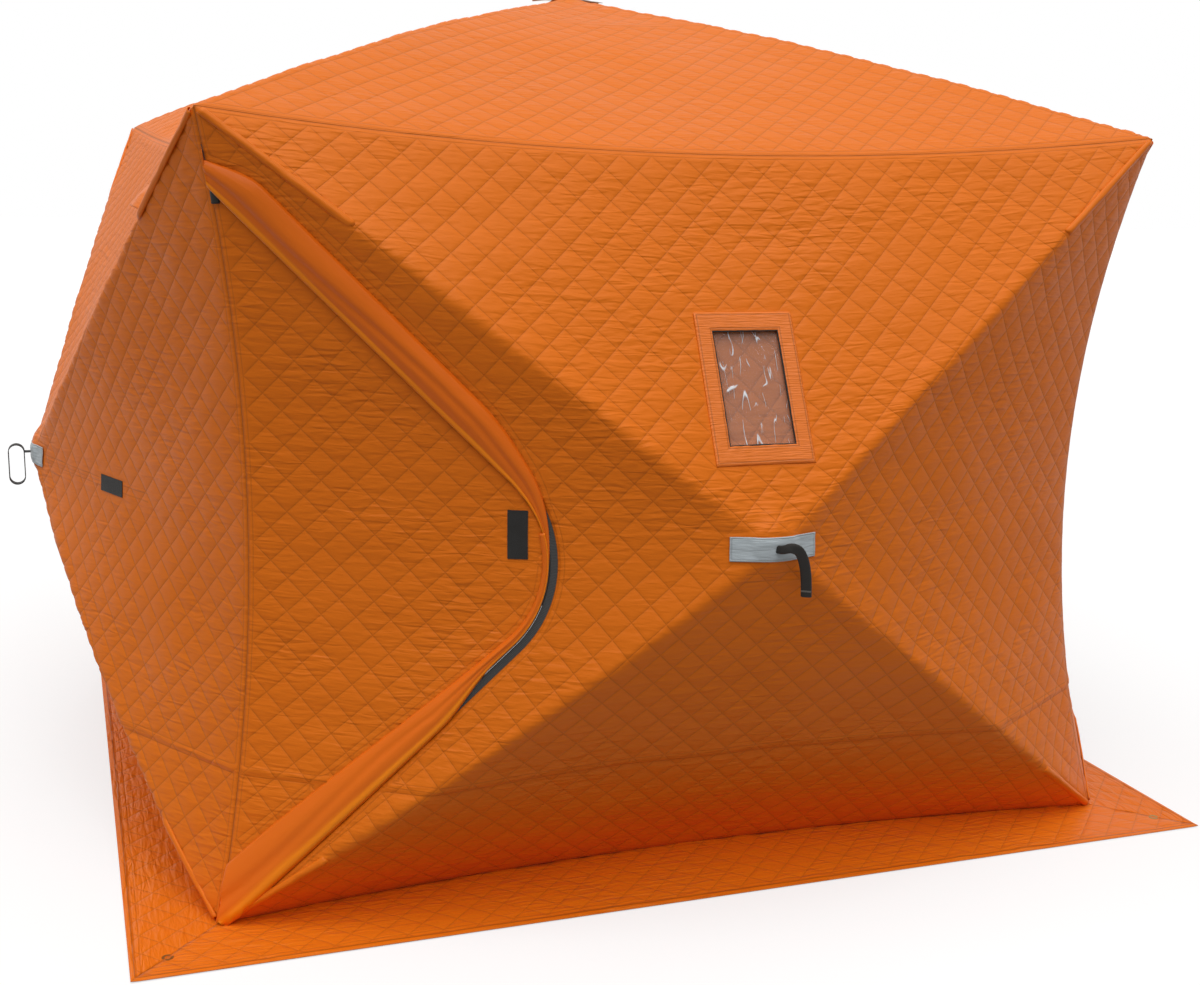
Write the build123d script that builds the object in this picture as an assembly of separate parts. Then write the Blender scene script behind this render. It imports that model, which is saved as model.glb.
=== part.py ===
from build123d import *
import os
from dataclasses import dataclass
from math import sqrt

# A pop-up ice fishing shelter: a square tent of quilted cloth on five spring hubs.
# Millimetres, +Z up, origin on the ground under the middle of the shelter.
# The wall with the door faces -Y. Wall parts are drawn on that wall and turned about Z.

# Driving sizes of the tent
floor_half = 1090.0        # centre line to a floor corner, along X and along Y
corner_height = 1670.0     # ground to a roof corner
hub_reach = 1424.0         # centre line to the tip of a wall, where its hub sits
hub_height = 828.0         # ground to a wall hub
roof_height = 2020.0       # ground to the roof hub
skirt_width = 185.0        # ground skirt, measured square to a wall
cloth = 4.0                # thickness of the quilted cloth

# How far the stretched cloth and the loaded poles leave their straight lines, at mid length
seam_pull = 128.0          # corner seams, pulled in towards the middle of the tent
eave_pull = 90.0           # roof edge seams, pulled in and down
floor_pull = 85.0          # floor edges, pulled in along the ground
upper_bow = 9.0            # wall poles above the hub, pushed out
lower_bow = 44.0           # wall poles below the hub, pushed out
roof_bow = 24.0            # roof poles, pushed up

# Poles and joints of the frame
pole_r = 5.5               # glass-fibre rod
socket_r = 9.0             # outside of the moulded sockets
ball_r = 10.0              # corner joints, and the room that the poles keep below the cloth
corner_sink = 9.0          # corner joints sit this much deeper, clear of the seams that pull in
socket_clearance = 0.2     # rod in its socket
socket_depth = 32.0
socket_length = 52.0
cloth_clearance = 0.5      # moulded parts to the cloth above them
hub_opening = 46.0         # hub centre to the cut corners of the cloth round it, along a pole
hub_barrel_r = 25.0
hub_barrel_depth = 34.0    # hub tip to the inner end of the barrel
hub_cap_r = 40.0
hub_cap_crown = 6.0
cap_edge = 1.0

# Door: a triangle with its back to the corner seam and a large round nose
door_nose = 339.0          # centre plane to the point where the two slanting sides would meet
door_nose_height = 792.0
door_nose_r = 245.0
door_upper_slope = 1.02    # rise of the upper side for each step towards the hinge
door_lower_slope = 1.037
door_hinge_side = 962.0    # centre plane to the upright edge of the leaf
door_gap = 6.0             # round the leaf
zip_width = 12.0           # woven tape of the zip, on the wall's side
zip_thickness = 2.0
flap_thickness = 3.0
flap_slope = 0.967         # storm flap over the upper run of the zip, drawn as the leaf is
flap_nose = 290.0
flap_nose_height = 843.0
flap_nose_r = 340.0
flap_top = 1520.0
flap_shoulder_r = 60.0
tape_width = 38.0          # hook and loop tape on the door and on the wall beside it
tape_length = 100.0
tape_thickness = 1.5
door_tape_across = 493.0   # middle of the tape on the leaf
door_tape_height = 845.0
tie_tape_across = 488.0    # middle of the tape on the side wall
tie_tape_height = 828.0

# Windows, one in the top panel of the front wall and one in the back wall
window_width = 150.0
window_height = 240.0      # along the slope
window_low = 196.0         # hub height to the lower edge
pane_margin = 22.0         # clear film past the opening on each side
pane_thickness = 0.8
cover_margin = 40.0        # quilted inner cover past the opening on each side
cover_thickness = 4.0
layer_gap = 0.4            # between layers that lie on each other

# Small fittings
patch_length = 190.0
patch_height = 50.0
patch_thickness = 1.5
patch_lift = 2.0           # ends of a hub patch above the middle of the panel under them
strap_width = 25.0
strap_thickness = 2.0
strap_reach = 34.0         # hub patch to the top of the pull loop
loop_length = 104.0
loop_width = 40.0
grommet_inset = 75.0       # skirt corner to the eyelet, along X and along Y
grommet_hole_r = 6.0
grommet_wall = 1.2
grommet_flange_r = 12.0
grommet_flange = 1.0
skirt_thickness = 3.0
vent_width = 240.0
vent_drop = 96.0           # along the slope
vent_depth = 46.0
vent_wall = 2.5
vent_hole_width = 150.0
vent_hole_height = 54.0
vent_height = 650.0        # hub height to the vent's middle, in plain height
roof_strap_reach = 12.0    # the roof's loop lies flat on the back slope
roof_loop_width = 16.0
strap_swing = 30.0         # degrees that the door wall's loop hangs off the upright
guy_tab_low = 0.945        # share of the corner seam's height where the guy-line tab is sewn in
guy_tab_high = 0.992
guy_tab_reach = 17.0       # seam to the tab's outer edge

diagonal = sqrt(0.5)
wall_turns = {"front": 0.0, "right": 90.0, "back": 180.0, "left": 270.0}

# Named points of the front wall and of the roof above it, on the outside of the cloth
hub_tip = Vector(0, -hub_reach, hub_height)
roof_tip = Vector(0, 0, roof_height)
corners = {
    "floor_left": Vector(-floor_half, -floor_half, skirt_thickness),
    "floor_right": Vector(floor_half, -floor_half, skirt_thickness),
    "roof_left": Vector(-floor_half, -floor_half, corner_height),
    "roof_right": Vector(floor_half, -floor_half, corner_height),
}
out_front = Vector(0, -1, 0)
out_eave = Vector(0, -diagonal, diagonal)
out_corner = {"left": Vector(-diagonal, -diagonal, 0), "right": Vector(diagonal, -diagonal, 0)}


def flat_normal(tip, a, b):
    """Outward normal of the flat triangle from a tip to two corners."""
    normal = (a - tip).cross(b - tip).normalized()
    outward = (tip + a + b) * (1 / 3) - Vector(0, 0, hub_height)
    return normal if normal.dot(outward) > 0 else normal * -1


normals = {
    "top": flat_normal(hub_tip, corners["roof_left"], corners["roof_right"]),
    "bottom": flat_normal(hub_tip, corners["floor_left"], corners["floor_right"]),
    "left": flat_normal(hub_tip, corners["floor_left"], corners["roof_left"]),
    "right": flat_normal(hub_tip, corners["floor_right"], corners["roof_right"]),
    "roof": flat_normal(roof_tip, corners["roof_left"], corners["roof_right"]),
}


def step_in(along, *faces):
    """The move, against along, that sinks a point by one unit below the faces that meet in it."""
    return along * (-len(faces) / sum(along.dot(face) for face in faces))


# Inward steps of the points where several panels meet, so that neighbours share their mitred sides
tip_step = step_in(out_front, normals["top"], normals["bottom"], normals["left"], normals["right"])
roof_tip_step = step_in(Vector(0, 0, 1), normals["roof"])
corner_steps = {}
for side in ("left", "right"):
    upward = (out_corner[side] + Vector(0, 0, diagonal)).normalized()
    faces = (normals[side], normals["top"], normals["roof"])
    corner_steps["roof_" + side] = step_in(upward, *faces)
    corner_steps["floor_" + side] = step_in(out_corner[side], normals[side])


@dataclass
class Curve:
    """A quadratic Bezier curve on the outside of the cloth, with the inward step at each point."""
    points: list
    steps: list

    def at(self, t):
        a, b, c = self.points
        return a * (1 - t) ** 2 + b * (2 * t * (1 - t)) + c * t**2


@dataclass
class Panel:
    """A net of 3 x 3 Bezier points from a hub (first row) to an edge, with their inward steps."""
    points: list
    steps: list
    normal: Vector


def pole_curve(tip, corner, corner_step, face_a, face_b, bow):
    """The ridge over a pole: bowed out by bow, and begun where the cloth round the hub is cut."""
    along = (corner - tip).normalized()
    ridge = (face_a + face_b).normalized()
    outward = (ridge - along * ridge.dot(along)).normalized()
    middle = (tip + corner) * 0.5 + outward * (2 * bow)
    t = hub_opening / (corner - tip).length
    start = Curve([tip, middle, corner], []).at(t)
    step = step_in(ridge, face_a, face_b)
    return Curve([start, middle * (1 - t) + corner * t, corner], [step, step, corner_step])


def seam_curve(a, b, pull, step_a, step_b, step_middle):
    """A sewn edge between two corners, pulled off its straight line by the vector pull."""
    return Curve([a, (a + b) * 0.5 + pull * 2, b], [step_a, step_middle, step_b])


def make_panel(left_pole, right_pole, seam, normal):
    """The skin between two poles and a seam. Half of the seam's pull is left half way to the hub."""
    sag = seam.points[1] - (seam.points[0] + seam.points[2]) * 0.5
    middle = (left_pole.points[1] + right_pole.points[1]) * 0.5 + sag * 0.5
    hub_side = (left_pole.points[0] + right_pole.points[0]) * 0.5
    hub_step = (left_pole.steps[0] + right_pole.steps[0]) * 0.5
    points = [
        [left_pole.points[0], hub_side, right_pole.points[0]],
        [left_pole.points[1], middle, right_pole.points[1]],
        seam.points,
    ]
    steps = [
        [left_pole.steps[0], hub_step, right_pole.steps[0]],
        [left_pole.steps[1], normal * -1, right_pole.steps[1]],
        seam.steps,
    ]
    return Panel(points, steps, normal)


def wall_poles():
    """The four ridges of a wall, named by the corner that they run to."""
    ridges = {}
    for height, bow in (("roof", upper_bow), ("floor", lower_bow)):
        edge = normals["top"] if height == "roof" else normals["bottom"]
        for side in ("left", "right"):
            name = f"{height}_{side}"
            step = corner_steps[name]
            ridges[name] = pole_curve(hub_tip, corners[name], step, edge, normals[side], bow)
    return ridges


def roof_poles_of_side():
    """The two ridges beside the roof's front panel."""
    ridges = {}
    for side, turn in (("left", -90), ("right", 90)):
        name = "roof_" + side
        beside = normals["roof"].rotate(Axis.Z, turn)
        step = corner_steps[name]
        ridges[name] = pole_curve(roof_tip, corners[name], step, normals["roof"], beside, roof_bow)
    return ridges


def eave():
    step = step_in(out_eave, normals["top"], normals["roof"])
    ends = corners["roof_left"], corners["roof_right"]
    steps = corner_steps["roof_left"], corner_steps["roof_right"]
    return seam_curve(*ends, out_eave * -eave_pull, *steps, step)


def floor_edge():
    ends = corners["floor_left"], corners["floor_right"]
    steps = corner_steps["floor_left"], corner_steps["floor_right"]
    return seam_curve(*ends, out_front * -floor_pull, *steps, step_in(out_front, normals["bottom"]))


def corner_seam(side):
    ends = corners["floor_" + side], corners["roof_" + side]
    steps = corner_steps["floor_" + side], corner_steps["roof_" + side]
    pull = out_corner[side] * -seam_pull
    return seam_curve(*ends, pull, *steps, step_in(out_corner[side], normals[side]))


ridges = wall_poles()
roof_ridges = roof_poles_of_side()
panels = {
    "top": make_panel(ridges["roof_left"], ridges["roof_right"], eave(), normals["top"]),
    "bottom": make_panel(ridges["floor_left"], ridges["floor_right"], floor_edge(), normals["bottom"]),
    "left": make_panel(ridges["floor_left"], ridges["roof_left"], corner_seam("left"), normals["left"]),
    "right": make_panel(ridges["floor_right"], ridges["roof_right"], corner_seam("right"), normals["right"]),
    "roof": make_panel(roof_ridges["roof_left"], roof_ridges["roof_right"], eave(), normals["roof"]),
}


def slab(panel, top, bottom):
    """The solid between two depths below the outside of a panel. Depths outside it are negative."""
    def net(depth):
        rows = zip(panel.points, panel.steps)
        return [[p + s * depth for p, s in zip(*row)] for row in rows]

    upper, lower = net(top), net(bottom)
    faces = [Face.make_bezier_surface(upper), Face.make_bezier_surface(lower)]
    for high, low in (
        (upper[0], lower[0]),
        (upper[2], lower[2]),
        ([row[0] for row in upper], [row[0] for row in lower]),
        ([row[2] for row in upper], [row[2] for row in lower]),
    ):
        faces.append(Face.make_bezier_surface([high, low]))
    solid = Solid(Shell(faces))
    return solid if solid.volume > 0 else Solid(solid.wrapped.Reversed())


def through_wall(outline):
    """An outline drawn on the front view (X across, Z up) as a prism through the front wall."""
    far = floor_half / 2
    face = Plane.XZ.offset(far) * outline
    return extrude(face, hub_reach * 1.2 - far)


def on_panel(panel, outline, depth, thickness):
    """A flat piece that lies along a panel: its outer face is depth below the panel's outside."""
    piece = slab(panel, depth, depth + thickness) & through_wall(outline)
    return piece


def turned(shape, wall):
    return shape.rotate(Axis.Z, wall_turns[wall])


def spot(panel, u, v):
    """The plane that touches a panel at u across and v from hub to edge, with Z outward."""
    def weights(t):
        return (1 - t) ** 2, 2 * t * (1 - t), t**2

    def point(a, b):
        place = Vector(0, 0, 0)
        for row, row_weight in zip(panel.points, weights(b)):
            for corner, weight in zip(row, weights(a)):
                place = place + corner * (row_weight * weight)
        return place

    origin = point(u, v)
    across = (point(u + 0.01, v) - point(u - 0.01, v)).normalized()
    down = (point(u, v + 0.01) - point(u, v - 0.01)).normalized()
    normal = across.cross(down)
    if normal.dot(panel.normal) < 0:
        normal = normal * -1
    return Plane(origin=origin, x_dir=across, z_dir=normal)


# ---- door -------------------------------------------------------------------------------------

def nosed(upper_slope, lower_slope, nose, nose_height, nose_r, back, ceiling=None):
    """A triangle lying on its side with a round nose, drawn on the front view."""
    reach = back - nose
    upper = nose_height + reach * upper_slope
    lower = nose_height - reach * lower_slope
    points = [(-back, lower), (-nose, nose_height)]
    if ceiling is None:
        points.append((-back, upper))
    else:
        points.append((-nose - (ceiling - nose_height) / upper_slope, ceiling))
        points.append((-back, ceiling))
    face = make_face(Polyline(*points, close=True))
    tip = face.vertices().sort_by(Axis.X)[-1]
    face = fillet(tip, nose_r)
    if ceiling is not None:
        shoulder = [v for v in face.vertices() if abs(v.Y - ceiling) < 0.01 and v.X > -back + 1]
        face = fillet(shoulder, flap_shoulder_r)
    return face


def door_outline(grow):
    """The leaf's outline, larger by grow all round, and run past the corner seam on its hinge side."""
    leaf = nosed(door_upper_slope, door_lower_slope, door_nose, door_nose_height, door_nose_r,
                 floor_half * 1.2)
    return offset(leaf, grow) if grow else leaf


def upright_band(low_x, high_x):
    """Everything between two upright planes across the front wall."""
    width = high_x - low_x
    return Pos(low_x + width / 2, corner_height / 2) * Rectangle(width, corner_height * 2)


left_skin = slab(panels["left"], 0, cloth)
doorway = through_wall(door_outline(door_gap + zip_width))
leaf_side = upright_band(-door_hinge_side, 0)
jamb_side = upright_band(-floor_half * 1.3, -door_hinge_side - door_gap)
door_leaf = left_skin & through_wall(door_outline(0) & leaf_side)
door_jamb = left_skin & through_wall(door_outline(door_gap) & jamb_side)
zip_band = door_outline(door_gap + zip_width) - door_outline(door_gap)
zip_depth = (cloth - zip_thickness) / 2
zip_tape = on_panel(panels["left"], zip_band, zip_depth, zip_thickness)

flap_outline = nosed(flap_slope, door_lower_slope, flap_nose, flap_nose_height, flap_nose_r,
                     floor_half * 1.2, ceiling=flap_top)
flap_outline = flap_outline - door_outline(door_gap)
storm_flap = on_panel(panels["left"], flap_outline, -layer_gap - flap_thickness, flap_thickness)

tab_outline = Pos(-door_tape_across, door_tape_height) * Rectangle(tape_width, tape_length)
door_tape = on_panel(panels["left"], tab_outline, -layer_gap - tape_thickness, tape_thickness)
tie_outline = Pos(tie_tape_across, tie_tape_height) * Rectangle(tape_length, tape_width)
tie_tape = on_panel(panels["right"], tie_outline, -layer_gap - tape_thickness, tape_thickness)

# ---- windows ----------------------------------------------------------------------------------

window_rise = window_height * Vector(0, 0, 1).cross(normals["top"]).length
window_middle = hub_height + window_low + window_rise / 2


def window_outline(margin):
    return Pos(0, window_middle) * Rectangle(window_width + 2 * margin, window_rise + 2 * margin)


top_skin = slab(panels["top"], 0, cloth)
window_wall = top_skin - through_wall(window_outline(0))
pane_depth = cloth + layer_gap
cover_depth = pane_depth + pane_thickness + layer_gap
pane = on_panel(panels["top"], window_outline(pane_margin), pane_depth, pane_thickness)
cover = on_panel(panels["top"], window_outline(cover_margin), cover_depth, cover_thickness)

# ---- vent -------------------------------------------------------------------------------------

vent_plane = spot(panels["top"], 0.5, vent_height / (corner_height - hub_height))


def arch(width, depth):
    """A low arch on its chord, in the XY plane."""
    chord = Line((-width / 2, 0), (width / 2, 0))
    bow = ThreePointArc((-width / 2, 0), (0, depth), (width / 2, 0))
    return make_face(chord + bow)


def hood(inset):
    """The hood as a loft from its open lip, low on the wall, up to a narrow edge."""
    lip = Plane(origin=(0, -vent_drop / 2, 0), x_dir=(1, 0, 0), z_dir=(0, 1, 0))
    crown = lip.offset(vent_drop - inset)
    if inset:
        lip = lip.offset(-1)
    mouth = lip * arch(vent_width - 2 * inset, -(vent_depth - inset))
    neck = crown * arch(vent_width * 0.72 - 2 * inset, -(vent_depth * 0.3 - inset))
    return loft([mouth, neck])


vent_hood = vent_plane * (hood(0) - hood(vent_wall)) - top_skin
vent_hole = vent_plane * Box(vent_hole_width, vent_hole_height, vent_depth)
vent_wall_panel = top_skin - vent_hole

# ---- frame ------------------------------------------------------------------------------------

rod_depth = cloth + cloth_clearance + ball_r
floor_raise = Vector(0, 0, ball_r + cloth_clearance)


def joint_centre(name):
    """The middle of a corner's ball, where all the poles of that corner would meet."""
    raised = floor_raise if name.startswith("floor") else Vector(0, 0, 0)
    return corners[name] + corner_steps[name] * (rod_depth + corner_sink) + raised


def rod_line(tip, first_step, ridge, name, bow):
    """The centre line of a pole, below its ridge, from the hub's middle to the corner's ball."""
    corner = corners[name]
    end = joint_centre(name)
    start = tip + first_step * rod_depth
    middle = (tip + corner) * 0.5 + ridge.steps[1] * rod_depth
    outward = ridge.points[1] - (ridge.points[0] + corner) * 0.5
    middle = middle + outward.normalized() * bow
    return ThreePointArc(start, middle, end)


def stretch(line, low, high):
    """The part of an arc between two distances from its start."""
    span = line.length
    return ThreePointArc(line @ (low / span), line @ ((low + high) / 2 / span), line @ (high / span))


def tube(line, radius):
    return sweep(Plane(origin=line @ 0, z_dir=line % 0) * Circle(radius), path=line)


def pole_pieces(line):
    """One pole and the sockets at its two ends, each with its blind bore."""
    total = line.length
    inner_end = socket_length - socket_depth
    rod = tube(stretch(line, hub_opening * 0.3 + inner_end, total - inner_end), pole_r)
    bore_r = pole_r + socket_clearance
    hub_socket = tube(stretch(line, hub_opening * 0.3, hub_opening * 0.3 + socket_length), socket_r)
    hub_bore = tube(stretch(line, hub_opening * 0.3 + inner_end, hub_opening + socket_length), bore_r)
    end_socket = tube(stretch(line, total - socket_length, total), socket_r)
    end_bore = tube(stretch(line, total - socket_length - 10, total - inner_end), bore_r)
    return rod, (hub_socket, hub_bore), (end_socket, end_bore)


def hub_body(tip, outward, ridge_set, sockets):
    """A moulded hub: a barrel through the cloth, a crowned cap outside it and four sockets."""
    rim = max((ridge.points[0] - tip).dot(outward) for ridge in ridge_set)
    base = Plane(origin=tip, z_dir=outward)
    crown_r = (hub_cap_r**2 + hub_cap_crown**2) / (2 * hub_cap_crown)
    profile = Polyline((0, -hub_barrel_depth), (hub_barrel_r, -hub_barrel_depth), (hub_barrel_r, rim),
                       (hub_cap_r, rim), (hub_cap_r, rim + cap_edge))
    crown = RadiusArc((hub_cap_r, rim + cap_edge), (0, rim + cap_edge + hub_cap_crown), -crown_r)
    close = Line((0, rim + cap_edge + hub_cap_crown), (0, -hub_barrel_depth))
    face = make_face(Plane.XZ * (profile + crown + close))
    body = base * revolve(face, Axis.Z)
    for socket, _ in sockets:
        body = body + socket
    for _, bore in sockets:
        body = body - bore
    return body


def corner_ball(centre, sockets):
    """The moulded joint in a corner, where the poles of the walls and of the roof meet."""
    body = Pos(*centre) * Sphere(ball_r)
    for socket, _ in sockets:
        body = body + socket
    for _, bore in sockets:
        body = body - bore
    return body


def wall_frame():
    """The poles, the hub and the corner sockets of the front wall."""
    rods, hub_sockets, end_sockets = [], [], {}
    for name, ridge in ridges.items():
        bow = upper_bow if name.startswith("roof") else lower_bow
        line = rod_line(hub_tip, tip_step, ridge, name, bow)
        rod, hub_socket, end_socket = pole_pieces(line)
        rods.append(rod)
        hub_sockets.append(hub_socket)
        end_sockets[name] = end_socket
    hub = hub_body(hub_tip, out_front, ridges.values(), hub_sockets)
    return rods, hub, end_sockets


def roof_frame():
    """The roof's four poles and hub, and the socket of its front right pole."""
    line = rod_line(roof_tip, roof_tip_step, roof_ridges["roof_right"], "roof_right", roof_bow)
    rod, hub_socket, end_socket = pole_pieces(line)
    rods = [turned(rod, wall) for wall in wall_turns]
    sockets = [tuple(turned(piece, wall) for piece in hub_socket) for wall in wall_turns]
    return rods, hub_body(roof_tip, Vector(0, 0, 1), roof_ridges.values(), sockets), end_socket


def turn_pair(pair, wall):
    return tuple(turned(piece, wall) for piece in pair)


wall_rods, wall_hub, wall_ends = wall_frame()
roof_rods, roof_hub, roof_end = roof_frame()

# The front right corner takes the front wall's right poles and the right wall's left poles
roof_joint = corner_ball(joint_centre("roof_right"), [
    wall_ends["roof_right"], turn_pair(wall_ends["roof_left"], "right"), roof_end])
floor_joint = corner_ball(joint_centre("floor_right"), [
    wall_ends["floor_right"], turn_pair(wall_ends["floor_left"], "right")])

# ---- skirt and ground fittings ----------------------------------------------------------------

skirt_half = floor_half + skirt_width
eyelet_at = skirt_half - grommet_inset


def skirt():
    """One side of the ground skirt, mitred at the corners, its inner edge under the wall's foot."""
    inner = floor_edge()
    inset = cloth * 1.5
    edge = Bezier(*[(p.X - (inset if p.X > 0 else -inset if p.X < 0 else 0), p.Y + inset) for p in inner.points])
    a, b = edge @ 0, edge @ 1
    outline = edge + Polyline((b.X, b.Y), (skirt_half, -skirt_half), (-skirt_half, -skirt_half), (a.X, a.Y))
    sheet = extrude(make_face(outline), skirt_thickness)
    for side in (-1, 1):
        sheet -= Pos(side * eyelet_at, -eyelet_at, 0) * Cylinder(grommet_hole_r + grommet_wall, skirt_width)
    return sheet


def grommet():
    """A rolled brass eyelet: a barrel through the skirt with a flange on each side of it."""
    r0, r1, r2 = grommet_hole_r, grommet_hole_r + grommet_wall, grommet_flange_r
    barrel = Pos(r0 + grommet_wall / 2, skirt_thickness / 2) * Rectangle(grommet_wall, skirt_thickness)
    flange = Pos((r0 + r2) / 2, skirt_thickness + grommet_flange / 2) * Rectangle(r2 - r0, grommet_flange)
    return revolve(Plane.XZ * (barrel + flange), Axis.Z)


# ---- fittings at the hubs ---------------------------------------------------------------------

def hub_patch(fall, crown):
    """A band of reflective cloth across a hub, bent over its cap. It is drawn with Y outward."""
    half = patch_length / 2
    low = patch_lift - fall
    high = crown + layer_gap

    def arc(lift):
        return [(-half, low + lift), (0, 2 * high - low + lift), (half, low + lift)]

    under, over = Bezier(*arc(0)), Bezier(*reversed(arc(patch_thickness)))
    outline = under + Line(under @ 1, over @ 0) + over + Line(over @ 1, under @ 0)
    return extrude(make_face(outline), patch_height / 2, both=True)


def pull_strap(crown, reach, width):
    """A webbing strap out of a hub, sewn into a hanging loop. Y is outward and X runs down it."""
    root = crown + layer_gap + patch_thickness + layer_gap
    loop = SlotOverall(loop_length, width)
    middle = root + reach + strap_thickness
    ring = Pos(loop_length / 2 - width / 2, middle) * (loop - offset(loop, -strap_thickness))
    neck_length = middle - width / 2 + strap_thickness / 2 - root
    neck = Pos(0, root + neck_length / 2) * Rectangle(strap_thickness, neck_length)
    return extrude(ring + neck, strap_width / 2, both=True)


def fall_of(panel, tip, outward):
    """How far a panel has fallen behind its hub's tip under the end of the hub patch."""
    place = spot(panel, 0.5, (patch_length / 2 - hub_opening) / floor_half).origin
    return (tip - place).dot(outward)


def crown_of(tip, outward, ridge_set):
    """Height of a hub cap's crown above the tip of the cloth."""
    return max((ridge.points[0] - tip).dot(outward) for ridge in ridge_set) + cap_edge + hub_cap_crown


up = Vector(0, 0, 1)
front_crown = crown_of(hub_tip, out_front, ridges.values())
roof_crown = crown_of(roof_tip, up, roof_ridges.values())
wall_patch = hub_patch(fall_of(panels["right"], hub_tip, out_front), front_crown)
wall_patch = Plane(origin=hub_tip, x_dir=(1, 0, 0), z_dir=(0, 0, -1)) * wall_patch
roof_patch = hub_patch(fall_of(panels["roof"], roof_tip, up), roof_crown)
roof_patch = Plane(origin=roof_tip, x_dir=(1, 0, 0), z_dir=(0, -1, 0)) * roof_patch
wall_strap = pull_strap(front_crown, strap_reach, loop_width)
wall_strap = Plane(origin=hub_tip, x_dir=(0, 0, -1), z_dir=(-1, 0, 0)) * wall_strap
door_wall_strap = wall_strap.rotate(Axis(hub_tip, (0, 1, 0)), -strap_swing)
roof_strap = pull_strap(roof_crown, roof_strap_reach, roof_loop_width)
roof_strap = Plane(origin=roof_tip, x_dir=(0, 1, 0), z_dir=(1, 0, 0)) * roof_strap


def guy_tab():
    """A folded webbing tab sewn upright into the top of the front wall's right corner seam."""
    seam = corner_seam("right")
    low, high = seam.at(guy_tab_low), seam.at(guy_tab_high)
    outward = out_corner["right"]
    middle = (low + high) * 0.5 + outward * guy_tab_reach
    outline = make_face(Line(low, high) + ThreePointArc(high, middle, low))
    across = Vector(0, 0, 1).cross(outward)
    return extrude(outline, strap_thickness, dir=across, both=True)


# ---- nodes ------------------------------------------------------------------------------------

wall_skins = {
    "front": {"top": window_wall, "left": left_skin - doorway},
    "back": {"top": window_wall},
    "left": {"top": vent_wall_panel},
    "right": {"top": vent_wall_panel},
}
nodes = {}
for wall in wall_turns:
    for side in ("top", "right", "bottom", "left"):
        skin = wall_skins[wall].get(side) or slab(panels[side], 0, cloth)
        nodes[f"{wall}_{side}_panel"] = [turned(skin, wall)]
    nodes[f"roof_{wall}_panel"] = [turned(slab(panels["roof"], 0, cloth), wall)]
    nodes[f"{wall}_skirt"] = [turned(skirt(), wall)]
    strap = door_wall_strap if wall == "front" else wall_strap
    nodes[f"{wall}_pull_strap"] = [turned(strap, wall)]

every_wall = list(wall_turns)
nodes["door_leaf"] = [door_leaf]
nodes["door_tape"] = [door_tape]
nodes["door_jamb"] = [door_jamb]
nodes["zip_tape"] = [zip_tape]
nodes["storm_flap"] = [storm_flap]
nodes["tie_back_tape"] = [turned(tie_tape, "left")]
nodes["window_panes"] = [turned(pane, wall) for wall in ("front", "back")]
nodes["window_covers"] = [turned(cover, wall) for wall in ("front", "back")]
nodes["vent_hoods"] = [turned(vent_hood, wall) for wall in ("left", "right")]
nodes["hubs"] = [turned(wall_hub, wall) for wall in every_wall] + [roof_hub]
nodes["wall_poles"] = [turned(rod, wall) for wall in every_wall for rod in wall_rods]
nodes["roof_poles"] = roof_rods
nodes["corner_joints"] = [turned(joint, wall) for wall in every_wall for joint in (roof_joint, floor_joint)]
nodes["hub_patches"] = [turned(wall_patch, wall) for wall in every_wall] + [roof_patch]
nodes["roof_pull_strap"] = [roof_strap]
nodes["skirt_grommets"] = [turned(Pos(eyelet_at, -eyelet_at, 0) * grommet(), wall) for wall in every_wall]
nodes["guy_tabs"] = [turned(guy_tab(), wall) for wall in ("right", "back")]

os.makedirs("parts", exist_ok=True)
for name, pieces in nodes.items():
    solids = [solid for piece in pieces for solid in piece.solids()]
    shape = solids[0] if len(solids) == 1 else Compound(solids)
    export_step(shape, f"parts/{name}.step")
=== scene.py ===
"""A pop-up ice fishing shelter of quilted cloth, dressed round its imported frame. Metres, +Z up."""
import math

import bpy
import numpy as np
from mathutils import Matrix
from bpy.props import FloatProperty, FloatVectorProperty, IntProperty, PointerProperty


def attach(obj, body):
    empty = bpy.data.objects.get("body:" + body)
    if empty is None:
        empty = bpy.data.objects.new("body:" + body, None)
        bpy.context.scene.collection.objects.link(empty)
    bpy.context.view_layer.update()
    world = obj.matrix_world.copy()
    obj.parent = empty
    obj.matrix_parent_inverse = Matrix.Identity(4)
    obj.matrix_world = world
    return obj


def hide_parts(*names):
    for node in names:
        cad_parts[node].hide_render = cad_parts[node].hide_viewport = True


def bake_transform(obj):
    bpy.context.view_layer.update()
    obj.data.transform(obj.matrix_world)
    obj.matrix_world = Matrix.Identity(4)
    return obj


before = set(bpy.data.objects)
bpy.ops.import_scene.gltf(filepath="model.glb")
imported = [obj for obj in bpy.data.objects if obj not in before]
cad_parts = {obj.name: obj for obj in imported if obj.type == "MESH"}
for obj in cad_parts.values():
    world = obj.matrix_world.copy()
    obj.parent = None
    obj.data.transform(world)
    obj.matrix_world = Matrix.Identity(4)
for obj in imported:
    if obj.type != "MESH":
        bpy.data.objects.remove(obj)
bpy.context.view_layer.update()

bl_info = {
    "name": "Quilted pop-up ice shelter",
    "version": (1, 0, 0),
    "blender": (4, 5, 0),
    "location": "View3D > Sidebar > Shelter",
    "description": "Quilted walls, roof, door, windows and fittings for a hub-frame ice shelter",
    "category": "Object",
}

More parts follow.
